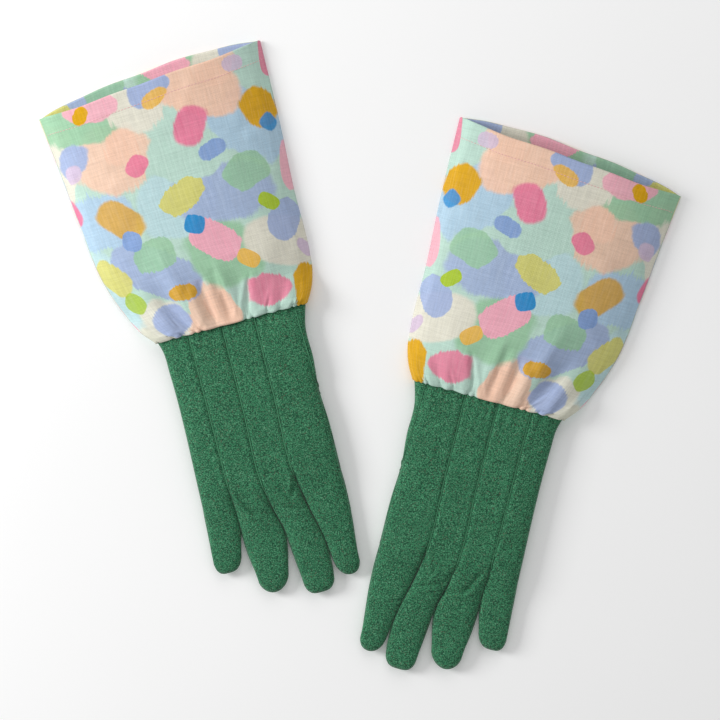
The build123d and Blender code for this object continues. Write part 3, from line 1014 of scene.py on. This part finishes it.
@dataclass
class Glove:
    """One glove, whose pieces ride on its bodies."""

    lie: Lie
    finishes: Finishes
    settled: Points | None  # the upper layer of its cuff, by rows and columns
    shape: HandShape = SHAPE
    thumb: ThumbCut = ThumbCut()
    suede: float = 0.8
    thumb_suede: float = 0.5
    thumb_lift: float = 5.0  # of the palm over the folded thumb
    thumb_fold: float = 0.007  # metres of the thumb's cloth that bend at its root

    @property
    def cuff(self) -> Cuff:
        """The glove's own cuff."""
        return Cuff(self.lie, self.finishes, self.settled)

    def body(self, name: str) -> str:
        """A body's name in the frame."""
        return self.lie.name(name)

    def dress(self, piece: bpy.types.Object, finish: bpy.types.Material, slot: str, *nodes: str) -> None:
        """Gives a piece its material and hides the nodes it stands for.

        Args:
            piece: The piece.
            finish: Its material.
            slot: The record's material slot; not used.
            nodes: The nodes' names without the hand.
        """
        if not piece.data.materials:
            piece.data.materials.append(finish)
        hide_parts(*(self.lie.name(node) for node in nodes))
        LOG.info("made %s with %d faces", piece.name, len(piece.data.polygons))

    def across_knuckle(self, piece: bpy.types.Object, finger: Finger) -> None:
        """Bakes the placing of a piece of a finger into its mesh."""
        joint = next(j for j in JOINTS if j["name"] == self.lie.name(f"{finger.cut.name}_bend"))
        self.body("hand")
        self.body(f"{finger.cut.name}_finger")
        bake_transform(piece)

    def build_fingers(self) -> None:
        """Makes the four strips of the back, the fingers' fronts and their fourchettes."""
        for cut in FINGER_CUTS:
            finger = Finger(cut)
            rows = round(cut.tip_start / 1.25)
            back = cloth_grid(self.lie.name(f"{cut.name}_back"), 22, rows, finger.back, flat_cut(), self.lie)
            thicken(back, self.suede)
            self.dress(
                back, self.finishes.suede, "green_suede", f"back_strip_{cut.name}", f"{cut.name}_finger_back"
            )
            front = cloth_grid(self.lie.name(f"{cut.name}_front"), 18, 56, finger.front, flat_cut(), self.lie)
            thicken(front, self.suede)
            self.dress(front, self.finishes.suede, "green_suede", f"{cut.name}_finger_front")
            wall = cloth_grid(self.lie.name(f"{cut.name}_fourchette"), 130, 6, finger.wall, flat_cut(), self.lie)
            thicken(wall, self.suede)
            self.dress(wall, self.finishes.suede, "green_suede", f"{cut.name}_finger_fourchette")
            for piece in (back, front, wall):
                self.across_knuckle(piece, finger)

    def palm(self, u: Points, v: Points) -> Points:
        """Glove-frame points of the palm, across from the little-finger side and down from the wrist."""
        reach = -3 + v * (self.shape.knuckles + 6)
        left, right = through(self.shape.little, reach), through(self.shape.thumb, reach) - 0.8
        turn_up = 0.1
        t = np.clip((u - turn_up) / (1 - turn_up), 0, 1)
        wall = 1 - np.clip(u / turn_up, 0, 1)
        round_up = np.sin(np.pi / 2 * np.clip(u / turn_up, 0, 1))
        x = left + 0.2 + (right - left - 0.2) * (0.045 * round_up + 0.955 * t)
        low = 0.35 + self.raised(x, reach)
        z = low + (self.shape.side - low) * (1 - np.cos(np.pi / 2 * wall)) ** 0.9
        edge = smooth(x, right - 5, right)
        z = z + (self.hem_height(reach) - z) * edge
        wrist = 1 - smooth(reach, -3, 6)
        z += 0.2 * ripple(x, reach, 14, 18, 2.2) * (1 - edge) * (1 - wall) + 0.3 * wrist
        return tucked(np.stack([x, -reach, np.maximum(z, 0.1)], axis=1))

    def raised(self, x: Points, reach: Points) -> Points:
        """How far the folded thumb lifts the palm, from the distance outside the thumb's outline."""
        cut = self.thumb
        root = np.array([49.0, (cut.root_start + cut.root_end) / 2])
        length = np.hypot(*(np.array(cut.tip) - root))
        run_x, run_y = (np.array(cut.tip) - root) / length
        along = (x - root[0]) * run_x + (reach - root[1]) * run_y
        aside = np.abs((x - root[0]) * run_y - (reach - root[1]) * run_x)
        root_half = (cut.root_end - cut.root_start) / 2 * abs(run_x)
        half = root_half + (cut.tip_radius - root_half) * np.clip(along / length, 0, 1)
        past = np.clip(along - length, 0, None)
        outside = np.where(past > 0, np.hypot(past, aside) - cut.tip_radius, aside - half)
        return self.thumb_lift * (1 - smooth(outside, 0, 8))

    def hem_height(self, reach: Points) -> Points:
        """Height of the gusset's lower edge, which rises over the thumb."""
        cut = self.thumb
        over = smooth(reach, cut.root_start - 7, cut.root_start)
        over = over * (1 - smooth(reach, cut.root_end + 1, cut.root_end + 12))
        shape = self.shape
        start = shape.knuckles - 4
        end = shape.finger_front_side + (0.9 - shape.finger_front_side) * (1 - smooth(reach, start, start + 18))
        level = 3.2 + (0.9 - 3.2) * smooth(reach, start - 14, start)
        return np.where(reach < start, level, end) + 2.9 * over

    def gusset(self, u: Points, v: Points) -> Points:
        """Glove-frame points of the side gusset, from the palm up to the back and from the wrist down."""
        reach = -3 + v * (self.shape.knuckles + 8)
        outer = through(self.shape.thumb, reach)
        seam = np.minimum(47.3 + 0.016 * reach, outer)
        top = self.shape.top(seam, reach) + self.shape.unevenness(seam, reach)
        hem = self.hem_height(reach)
        turn = np.clip(u / 0.5, 0, 1)
        up = np.clip((u - 0.5) / 0.5, 0, 1)
        side = self.shape.side
        low = hem + (side - hem) * turn
        bulge = 0.5 * np.sin(np.pi * turn)
        x_low = outer - 0.8 * (1 - turn) + bulge
        x_high = outer + (seam - outer) * up
        little = through(self.shape.little, reach)
        across = (2 * x_high - little - outer) / (outer - little)
        high = side + (self.shape.crown - side) * dome(across, 7, 2.4)
        high = high + (top - high) * up**3
        x = np.where(u < 0.5, x_low, x_high)
        return tucked(np.stack([x, -reach, np.where(u < 0.5, low, np.maximum(high, side))], axis=1))

    def build_palm(self) -> None:
        """Makes the palm and the side gusset."""
        palm = cloth_grid(self.lie.name("palm"), 84, 96, self.palm, flat_cut(), self.lie)
        thicken(palm, self.suede)
        self.dress(palm, self.finishes.suede, "green_suede", "palm_panel")
        gusset = cloth_grid(self.lie.name("gusset"), 22, 100, self.gusset, flat_cut(), self.lie)
        thicken(gusset, self.suede)
        self.dress(gusset, self.finishes.suede, "green_suede", "side_gusset")
        for piece in (palm, gusset):
            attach(piece, self.body("hand"))

    def thumb_face(self, low: bool) -> Callable[[Points, Points], Points]:
        """The place function of the thumb's lower or upper cloth."""

        def place(u: Points, v: Points) -> Points:
            """Glove-frame points, from the wrist-side edge across and from the root to the tip."""
            cut = self.thumb
            across = 1 - u if low else u
            x, reach = cut.plan(across, v)
            shut = np.clip((v - 0.84) / 0.16, 0, 1)
            face = cut.bottom if low else cut.top
            z = cut.side + (face - cut.side) * dome(2 * u - 1, 3.4, 2) * dome(shut, 2.2, 1.7)
            z += 0.2 * ripple(x, reach, 9, 11, 6.1) * dome(2 * u - 1, 3.4, 2) * (1 - shut)
            root = 1 - smooth(v, 0, 0.09)
            height = 6.0 if low else 5.4
            z = z + (height - z) * root**1.5
            x = x + (0.0 if low else -0.8) * root
            return np.stack([x, -reach, np.maximum(z, 0.1)], axis=1)

        return place

    def thumb_wall(self, u: Points, v: Points) -> Points:
        """Glove-frame points of the thin side strip that joins the thumb's two faces."""
        first, last = 0.42, 0.58
        w = np.where(u < first, u / first, np.where(u > last, (1 - u) / (1 - last), 1))
        across = np.clip((u - first) / (last - first), 0, 1)
        x, reach = self.thumb.plan(across, w)
        z = self.thumb.side + 0.4 * (v - 0.5)
        root = (1 - smooth(w, 0, 0.09)) ** 1.5
        return np.stack([x, -reach, z + (5.7 - z) * root], axis=1)

    def build_thumb(self) -> None:
        """Makes the thumb under the palm."""
        for low, name, node in ((False, "thumb_upper", "thumb_upper"), (True, "thumb_lower", "thumb_lower")):
            place = self.thumb_face(low)
            face = cloth_grid(self.lie.name(name + "_cloth"), 24, 50, place, flat_cut(), self.lie)
            self.finish_thumb(face, node)
        wall = cloth_grid(self.lie.name("thumb_side_cloth"), 100, 3, self.thumb_wall, flat_cut(), self.lie)
        self.finish_thumb(wall, "thumb_side_wall")

    def finish_thumb(self, piece: bpy.types.Object, node: str) -> None:
        """Dresses one piece of the thumb, which lies folded under the palm, and bakes its placing."""
        thicken(piece, self.thumb_suede)
        self.dress(piece, self.finishes.suede, "green_suede", node)
        joint = next(j for j in JOINTS if j["name"] == self.lie.name("thumb_unfold"))
        self.body("hand")
        self.body("thumb")
        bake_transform(piece)

    def section(self, q: Points, reach: float, inset: float) -> tuple[Points, Points]:
        """The outline round the hand: over the back from the little-finger side, and back under the palm."""
        left = float(through(self.shape.little, np.array([reach]))[0]) + inset
        right = float(through(self.shape.thumb, np.array([reach]))[0]) - inset
        over = q < 0.5
        t = np.where(over, 2 * q, 2 - 2 * q)
        across = -np.cos(np.pi * t)
        x = (left + right) / 2 + (right - left) / 2 * across
        crown = self.shape.crown - 0.4 - inset
        top = self.shape.side + (crown - self.shape.side) * dome(across, 7, 2.4)
        bottom = 0.8 + inset + (self.shape.side - 0.8 - inset) * (1 - dome(across, 9, 2.4))
        return x, np.where(over, top, bottom)

    def build_tapes(self) -> None:
        """Makes the binding and the gathered elastic round the inside of the wrist."""
        for name, start, width, inset, finish, puckers in (
            ("wrist_binding", 1.0, 5.0, 1.4, self.finishes.binding, 0.0),
            ("wrist_elastic", 8.0, 8.0, 1.6, self.finishes.elastic, 0.35),
        ):

            def place(
                u: Points, v: Points, a: float = start, b: float = width, c: float = inset, d: float = puckers
            ) -> Points:
                """Glove-frame points of the tape, facing into the glove."""
                reach = a + b * v
                x, z = self.section(u, a + b / 2, c + 0.3)
                wave = d * np.sin(2 * np.pi * u * 64) * np.sin(np.pi * v)
                return np.stack([x, -reach, z + wave], axis=1)

            tape = cloth_grid(
                self.lie.name(name + "_tape"), 320, 6, place, lambda u, v: (220 * u, 10 * v), self.lie
            )
            edit(tape, lambda: bpy.ops.mesh.remove_doubles(threshold=1e-6))
            thicken(tape, 0.5)
            self.dress(tape, finish, "elastic" if "elastic" in name else "binding", name)
            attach(tape, self.body("hand"))

    def build_seams(self) -> None:
        """Makes the three pin-tuck ridges down the back of the hand, and the finer one at the gusset."""
        ridges = []
        lines = (
            (LITTLE_RING, 120, 1.0), (RING_MIDDLE, 126, 1.0), (MIDDLE_INDEX, 120, 1.0), (GUSSET_SEAM, 58, 0.7)
        )
        for number, (line, end, size) in enumerate(lines):

            def place(
                u: Points, v: Points, line: Edge = line, end: float = end, size: float = size, seed: int = number
            ) -> Points:
                """Glove-frame points of one ridge, across it and from the knuckles to the wrist."""
                reach = end - v * (end - 0.5)
                x = through(line, reach)
                wander = 0.22 * ripple(0 * reach, reach, 1, 9, 4.0 + seed)
                base = self.shape.top(x, reach) + self.shape.unevenness(x, reach)
                tall = (0.85 + 0.4 * ripple(0 * reach, reach, 1, 6, 9.0 + seed)) * size
                ends = smooth(reach, end, end - 9) * smooth(v, 1, 0.99)
                angle = 2 * np.pi * u
                up = -np.cos(angle)
                lean = 0.25 * tall * np.maximum(up, 0)
                return np.stack([
                    x + (wander - 0.42 * size * np.sin(angle) + lean) * ends,
                    -reach,
                    base - 0.15 + np.where(up > 0, tall, 0.3) * up * ends,
                ], axis=1)

            ridge = cloth_grid(f"ridge{number}", 14, 110, place, flat_cut(), self.lie)
            edit(ridge, lambda: bpy.ops.mesh.remove_doubles(threshold=1e-6))
            ridges.append(ridge)
        seams = join(self.lie.name("back_seams"), ridges)
        self.dress(seams, self.finishes.seam_thread, "seam_thread", "back_seam_threads")
        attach(seams, self.body("hand"))

    def build(self) -> None:
        """Makes the whole glove."""
        self.build_fingers()
        self.build_palm()
        self.build_thumb()
        self.build_tapes()
        self.build_seams()
        self.cuff.build(self)


# ------------------------------------------------------------------------------------------------ cuff

CUFF_LITTLE: Edge = ((-1, -56.8), (8, -64.6), (24, -73.2), (48, -81.8), (96, -88.4), (144, -93.0), (178, -97))
CUFF_THUMB: Edge = ((-1, 56.4), (8, 61.6), (20, 65.6), (36, 67.4), (80, 68.1), (128, 70.6), (192, 72.3))


@dataclass
class Cuff:
    """The gathered linen cuff: one sleeve of cloth, its turned-in hem and its stitching."""

    lie: Lie | None = None
    finishes: Finishes | None = None
    settled: Points | None = None  # the upper layer, by rows and columns
    crown: float = 19.0
    fold_height: float = 1.2
    left_end: float = 176.5  # distance from the wrist seam of the mouth's little-finger corner
    right_end: float = 191.5
    setback: float = 2.5
    bulge: float = 7.5
    hem: float = 15.0
    flat_size: tuple[float, float] = (0.354, 0.207)  # of the cloth before it is sewn, in metres
    over: int = 132  # faces across the upper layer
    under: int = 76
    rows: int = 124
    wrist_cut: float = 164.0  # width of the cut cloth that is gathered into the wrist
    settle_frames: int = 14
    creases: tuple[Crease, ...] = (
        Crease((-30, -3), (-50, 66), 4.2, 6.5),
        Crease((-22, -3), (-28, 30), 1.8, 3.0),
        Crease((-44, -3), (-66, 36), 2.0, 4.0),
        Crease((-10, -3), (-14, 36), 1.4, 3.5),
        Crease((3, -3), (-6, 48), 2.6, 4.0),
        Crease((13, -3), (20, 34), 1.6, 3.2),
        Crease((26, -3), (34, 26), 1.0, 3.0),
        Crease((36, -3), (50, 44), 1.6, 4.5),
        Crease((48, -3), (62, 24), 1.0, 3.0),
        Crease((-74, 60), (-40, 88), 0.8, 5.0),
        Crease((-20, 60), (-8, 110), 0.7, 6.0),
        Crease((22, 96), (62, 84), 0.6, 5.0),
        Crease((-20, 130), (12, 144), 0.6, 5.5),
        Crease((34, 126), (66, 142), 0.6, 5.0),
        Crease((-70, 116), (-34, 132), 0.6, 5.0),
        Crease((-4, 150), (6, 176), 0.8, 6.0),
    )

    def along(self, t: Points, v: Points, upper: Points) -> Points:
        """Distance from the wrist seam: v runs from the seam to the mouth, t from the little-finger fold."""
        end = self.left_end + (self.right_end - self.left_end) * t
        bow = 4 * t * (1 - t) * smooth(v, 0.5, 1)
        end = end + bow * np.where(upper, -self.setback, self.bulge)
        end = end + 0.5 * np.sin(11 * t + 2 * upper) + 0.35 * np.sin(23 * t)
        return -0.6 - 1.1 * self.pleats(t) * (1 - smooth(v, 0, 0.03)) + (end + 0.6) * v

    @staticmethod
    def pleats(t: Points) -> Points:
        """Height of the gathers at the wrist, from 0 between two to 1 on one."""
        turns = 12 * t + 0.9 * np.sin(7 * t) + 0.45 * np.sin(19 * t + 1) + 0.2 * np.sin(41 * t)
        return np.abs(np.sin(np.pi * turns)) ** 0.8

    def layer(self, t: Points, v: Points, upper: Points) -> Points:
        """Glove-frame points of the sleeve, with its upper layer as it has settled.

        Args:
            t: Share across, from the little-finger fold.
            v: Share from the wrist seam to the mouth.
            upper: Whether each point is on the upper layer.

        Returns:
            The points.
        """
        points = self.drawn(t, v, upper)
        if self.settled is None:
            return points
        rows, columns = np.array(self.settled.shape[:2]) - 1
        i, j = np.clip(v * rows, 0, rows - 1e-6), np.clip(t * columns, 0, columns - 1e-6)
        i0, j0 = i.astype(int), j.astype(int)
        a, b = (i - i0)[:, None], (j - j0)[:, None]
        low = self.settled[i0, j0] * (1 - b) + self.settled[i0, j0 + 1] * b
        high = self.settled[i0 + 1, j0] * (1 - b) + self.settled[i0 + 1, j0 + 1] * b
        return np.where(upper[:, None], low * (1 - a) + high * a, points)

    def settle(self) -> Points:
        """Lets the gathered upper layer fall into its pleats by cloth simulation.

        Returns:
            Its glove-frame points, by rows from the wrist and columns from the little-finger fold.
        """
        size = 0.01  # of the simulation, for a millimetre: cloth settles best at about ten times its size
        glove = Lie(Hand.RIGHT, Vector((0, 0, 0)), Vector((1, 0, 0)), Vector((0, 1, 0)))
        shares: list[tuple[Points, Points]] = []

        def drawn(u: Points, v: Points) -> Points:
            """The upper layer before it settles."""
            shares.append((u, v))
            return self.drawn(u, v, np.ones_like(u, bool)) * (size / MM)

        def support(u: Points, v: Points) -> Points:
            """What fills the sleeve a little below it: the lower layer's spring and the air between."""
            points = self.drawn(u, v, np.ones_like(u, bool))
            share = self.shares_across(u)
            y = points[:, 1]
            points[:, 2] -= self.gathers(u, y, share) + 1.4 * dome(share, 2, 1)
            return points * (size / MM)

        cloth = cloth_grid("upper_layer", self.over, self.rows, drawn, flat_cut(), glove)
        u, v = shares[0]
        start = self.drawn(u, v, np.ones_like(u, bool))
        cloth.shape_key_add(name="gathered")
        rest = cloth.shape_key_add(name="cut")
        y = start[:, 1]
        width = through(CUFF_THUMB, y) - through(CUFF_LITTLE, y)
        cut_width = width + (self.wrist_cut - width[v < 1e-6].mean()) * np.exp(-np.clip(y, 0, None) / 45)
        flat = np.stack([(u - 0.5) * cut_width, y * 1.015, 0 * y], axis=1) * size
        rest.data.foreach_set("co", flat.astype(np.float32).ravel())
        pins = cloth.vertex_groups.new(name="pins")
        held = np.flatnonzero((v < 0.012) | (u < 0.012) | (u > 0.988))
        pins.add([int(i) for i in held], 1.0, "REPLACE")
        linen = cloth.modifiers.new("linen", "CLOTH")
        for setting, value in {
            "quality": 5,
            "mass": 0.15,
            "tension_stiffness": 25,
            "compression_stiffness": 25,
            "shear_stiffness": 8,
            "bending_stiffness": 1.1,
            "tension_damping": 8,
            "compression_damping": 8,
            "shear_damping": 8,
            "bending_damping": 0.6,
            "air_damping": 3,
            "vertex_group_mass": "pins",
            "rest_shape_key": rest,
        }.items():
            setattr(linen.settings, setting, value)
        linen.collision_settings.use_collision = True
        linen.collision_settings.distance_min = 0.012
        linen.collision_settings.collision_quality = 3
        linen.collision_settings.use_self_collision = False
        base = cloth_grid("sleeve_support", 70, 70, support, flat_cut(), glove)
        base.modifiers.new("support", "COLLISION")
        base.collision.thickness_outer = 0.01
        base.collision.cloth_friction = 20
        scene = bpy.context.scene
        for frame in range(1, self.settle_frames + 1):
            scene.frame_set(frame)
        settled = read_points(cloth.evaluated_get(bpy.context.evaluated_depsgraph_get()).data) / size
        scene.frame_set(1)
        only(cloth)
        base.select_set(True)
        bpy.ops.object.delete()
        order = np.lexsort((np.round(u * self.over), np.round(v * self.rows)))
        ease = smooth(np.minimum(u, 1 - u), 0.01, 0.09)[:, None]
        settled = start + (settled - start) * ease
        LOG.info("the cuff settled, moving by up to %.1f mm", np.abs(settled - start).max())
        return settled[order].reshape(self.rows + 1, self.over + 1, 3)

    def drawn(self, t: Points, v: Points, upper: Points) -> Points:
        """Glove-frame points of the sleeve as it is drawn.

        Args:
            t: Share across, from the little-finger fold.
            v: Share from the wrist seam to the mouth.
            upper: Whether each point is on the upper layer.

        Returns:
            The points.
        """
        y = self.along(t, v, upper)
        left, right = through(CUFF_LITTLE, y), through(CUFF_THUMB, y)
        share = self.shares_across(t)
        x = (left + right) / 2 + (right - left) / 2 * share
        at_wrist = 1 - smooth(y, 0, 26)
        fold = self.fold_height + (SHAPE.side - self.fold_height) * at_wrist
        crown = 13.3 + (self.crown - 13.3) * smooth(y, 0, 45)
        arch = dome(share, 2.3, 1.15)
        arch = arch + (dome(share, 7, 2.4) - arch) * at_wrist
        high = fold + (crown - fold) * arch + self.folds(t, x, y, share)
        low = 0.35 + (fold - 0.35) * (1 - dome(share, 14, 1.6))
        high = np.maximum(high, low + 0.4 * dome(share, 20, 2))
        return np.stack([x, y, np.where(upper, high, low)], axis=1)

    @staticmethod
    def shares_across(t: Points) -> Points:
        """Place across the sleeve, -1 to 1, with the columns closer together near the folds."""
        return 0.85 * (2 * t - 1) - 0.15 * np.cos(np.pi * t)

    def gathers(self, t: Points, y: Points, share: Points) -> Points:
        """Height of the gathers at the wrist."""
        up = np.clip(y, 0, None)
        reach = 9 + 7 * ripple(share, 0 * y, 0.23, 1, 5.0)
        return dome(share, 8, 1.5) * (1.5 * self.pleats(t) - 0.1) * np.exp(-((up / reach) ** 1.3))

    def folds(self, t: Points, x: Points, y: Points, share: Points) -> Points:
        """Height of the gathers and of the soft folds that run out of them."""
        up = np.clip(y, 0, None)
        long = np.sin(14 * share + 1.7 * np.sin(3 * share + 1)) * 1.0 * np.exp(-(((up - 24) / 22) ** 2))
        soft = 1.5 * ripple(x, y, 44, 62, 1.3) + 0.5 * ripple(x, y, 15, 30, 7.7) + 0.12 * ripple(x, y, 6, 8, 3.7)
        creased = sum(c.height(x, y) for c in self.creases)
        return self.gathers(t, y, share) + dome(share, 8, 1.5) * (long + soft * smooth(y, 4, 40) + creased)

    def columns(self, u: Points) -> tuple[Points, Points]:
        """Share across and layer for each share round the sleeve."""
        split = self.over / (self.over + self.under)
        upper = u <= split
        t = np.where(upper, u / split, (1 - u) / (1 - split))
        return t, upper

    def sleeve(self, u: Points, v: Points) -> Points:
        """Glove-frame points round the sleeve."""
        t, upper = self.columns(u)
        return self.layer(t, v, upper)

    def cut(self, u: Points, v: Points) -> tuple[Points, Points]:
        """Where the sleeve's points were in the flat cloth, in millimetres."""
        t, upper = self.columns(u)
        x = -88 + 160 * t
        y = self.along(t, v, upper)
        return x, np.where(upper, y, y - 0.3 * (72 - x))

    def build(self, glove: Glove) -> None:
        """Makes the cuff."""
        linen, reverse = self.finishes.linen, self.finishes.reverse
        sleeve = cloth_grid(
            self.lie.name("cuff"), self.over + self.under, self.rows, self.sleeve, self.cut, self.lie
        )
        edit(sleeve, lambda: bpy.ops.mesh.remove_doubles(threshold=1e-6))
        sleeve.data.materials.append(linen)
        sleeve.data.materials.append(reverse)
        thicken(sleeve, 0.6, 1)
        glove.dress(sleeve, linen, "printed_linen", "cuff_back", "cuff_front")
        seam = Vector(self.lie.point(0, -1, 0)), Vector(self.lie.point(0, 32, 0))
        glove.body("hand")
        glove.body("cuff")
        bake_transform(sleeve)
        hem = self.build_hem(glove)
        palm = self.lie.name("palm")

    def build_hem(self, glove: Glove) -> list[bpy.types.Object]:
        """Makes the turned-in hem, its stitching and the seam allowance inside, and gives back the three."""
        share = self.hem / 184

        def inside(u: Points, v: Points, lift: float = 0.85) -> Points:
            """Points just inside the sleeve, within the hem."""
            t, upper = self.columns(u)
            t = 0.02 + 0.96 * t
            points = self.layer(t, 1 - share + (share - 0.0015) * v, upper)
            points[:, 2] += np.where(upper, -lift, lift)
            return points

        def hem_cut(u: Points, v: Points) -> tuple[Points, Points]:
            """The hem's place in the flat cloth, folded back over the mouth."""
            t, _ = self.columns(u)
            return -88 + 160 * t, 44 + 16 * v

        hem = cloth_grid(self.lie.name("hem"), self.over + self.under, 10, inside, hem_cut, self.lie)
        edit(hem, bpy.ops.mesh.flip_normals, lambda: bpy.ops.mesh.remove_doubles(threshold=1e-6))
        hem.data.materials.append(self.finishes.linen)
        thicken(hem, 0.3)
        glove.dress(hem, self.finishes.linen, "printed_linen", "cuff_hem")
        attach(hem, glove.body("cuff"))
        stitches = self.build_stitches(glove, share)

        def flap(u: Points, v: Points) -> Points:
            """Points of the seam allowance that lies inside the little-finger fold."""
            t = np.full_like(u, 0.0) + 0.035 + 0.05 * u
            points = self.layer(t, 0.22 + 0.68 * v, np.zeros_like(u, bool))
            points[:, 2] += 0.9 + 0.25 * ripple(points[:, 0], points[:, 1], 9, 14, 2.0)
            return points

        allowance = cloth_grid(self.lie.name("cuff_seam"), 8, 80, flap, flat_cut(-80, 20), self.lie)
        allowance.data.materials.append(self.finishes.reverse)
        thicken(allowance, 0.4)
        glove.dress(allowance, self.finishes.reverse, "printed_linen", "cuff_side_seam")
        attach(allowance, glove.body("cuff"))
        return [hem, stitches, allowance]

    def build_stitches(self, glove: Glove, share: float) -> bpy.types.Object:
        """Makes the running stitches that hold the hem, share of the sleeve's length from the mouth."""
        pitch, length = 3.0, 2.5
        count = round(2 * 169 / pitch)

        def stitch(u: Points, v: Points) -> Points:
            """Points of every stitch: u runs round the sleeve and v round the thread."""
            t, upper = self.columns(u)
            t = 0.012 + 0.976 * t
            row = np.full_like(u, 1 - share * 0.9)
            points = self.layer(t, row, upper)
            phase = (u * count) % 1.0
            body = dome((phase / (length / pitch)) * 2 - 1, 4, 2) * (phase < length / pitch)
            turn = 2 * np.pi * v
            points[:, 1] += 0.22 * np.cos(turn) * body
            points[:, 2] += np.where(upper, 1, -1) * (-0.3 + 0.36 * body + 0.2 * np.sin(turn) * body)
            points[:, 2] = np.maximum(points[:, 2], 0.02)
            return points

        thread = cloth_grid(self.lie.name("hem_stitches"), count * 8, 6, stitch, flat_cut(), self.lie)
        edit(thread, lambda: bpy.ops.mesh.remove_doubles(threshold=1e-6), bpy.ops.mesh.delete_loose,
             bpy.ops.mesh.normals_make_consistent)
        glove.dress(thread, self.finishes.hem_thread, "hem_thread", "cuff_hem_thread")
        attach(thread, glove.body("cuff"))
        return thread


# ------------------------------------------------------------------------------------------------ studio


@dataclass
class Studio:
    """The pale table, the soft light and the camera straight above."""

    view_width: float = 0.5184  # of the picture, on the table
    centre: tuple[float, float] = (0.0, -0.0047)
    lens: float = 110.0

    def build(self) -> None:
        """Sets the table, lights and camera."""
        bpy.ops.object.select_all(action="DESELECT")
        bpy.ops.mesh.primitive_plane_add(size=8, location=(0, 0, -0.0005))
        table = bpy.context.object
        table.name = "table"
        material, nodes, shader = new_material("table_white", 0.9, 0)
        place = nodes.add("TexCoord").outputs["Object"]
        tone = nodes.between(nodes.noise(place, 3, 2).outputs["Fac"], 0.2, 0.8)
        white = nodes.mix(tone, (0.96, 0.96, 0.96), (0.98, 0.98, 0.98))
        nodes.tree.links.new(white, shader.inputs["Base Color"])
        shader.inputs["Emission Color"].default_value = (1, 1, 1, 1)
        shader.inputs["Emission Strength"].default_value = 0.07
        table.data.materials.append(material)
        self.light("key", (-1.5, 0.35, 0.75), 0.6, 21)
        self.light("top", (0.1, 1.5, 1.2), 1.2, 6)
        world = bpy.data.worlds.new("studio")
        world.use_nodes = True
        world.node_tree.nodes["Background"].inputs["Color"].default_value = (1, 1, 1, 1)
        world.node_tree.nodes["Background"].inputs["Strength"].default_value = 0.46
        bpy.context.scene.world = world
        bpy.context.scene.view_settings.view_transform = "Standard"
        camera = bpy.data.cameras.new("above")
        camera.lens = self.lens
        holder = bpy.data.objects.new("above", camera)
        bpy.context.scene.collection.objects.link(holder)
        height = self.view_width * self.lens / camera.sensor_width
        holder.location = (*self.centre, height + 0.006)
        bpy.context.scene.camera = holder

    @staticmethod
    def light(name: str, place: tuple[float, float, float], size: float, power: float) -> None:
        """Adds a soft area light that looks at the middle of the table."""
        data = bpy.data.lights.new(name, "AREA")
        data.size = size
        data.energy = power
        lamp = bpy.data.objects.new(name, data)
        lamp.location = place
        lamp.rotation_mode = "QUATERNION"
        lamp.rotation_quaternion = (-Vector(place)).to_track_quat("-Z", "Y")
        bpy.context.scene.collection.objects.link(lamp)


JOINTS: list[dict] = []


def main() -> None:
    """Builds the studio, the finishes, the settled cuff and both gloves, in order."""
    logging.basicConfig(level=logging.INFO, format="%(message)s")
    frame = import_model()
    JOINTS.extend(frame["joints"])
    Studio().build()
    finishes = Finishes.build()
    settled = Cuff().settle()
    for hand in Hand:
        Glove(Lie.of(hand, frame["joints"]), finishes, settled).build()


if __name__ == "__main__":
    main()
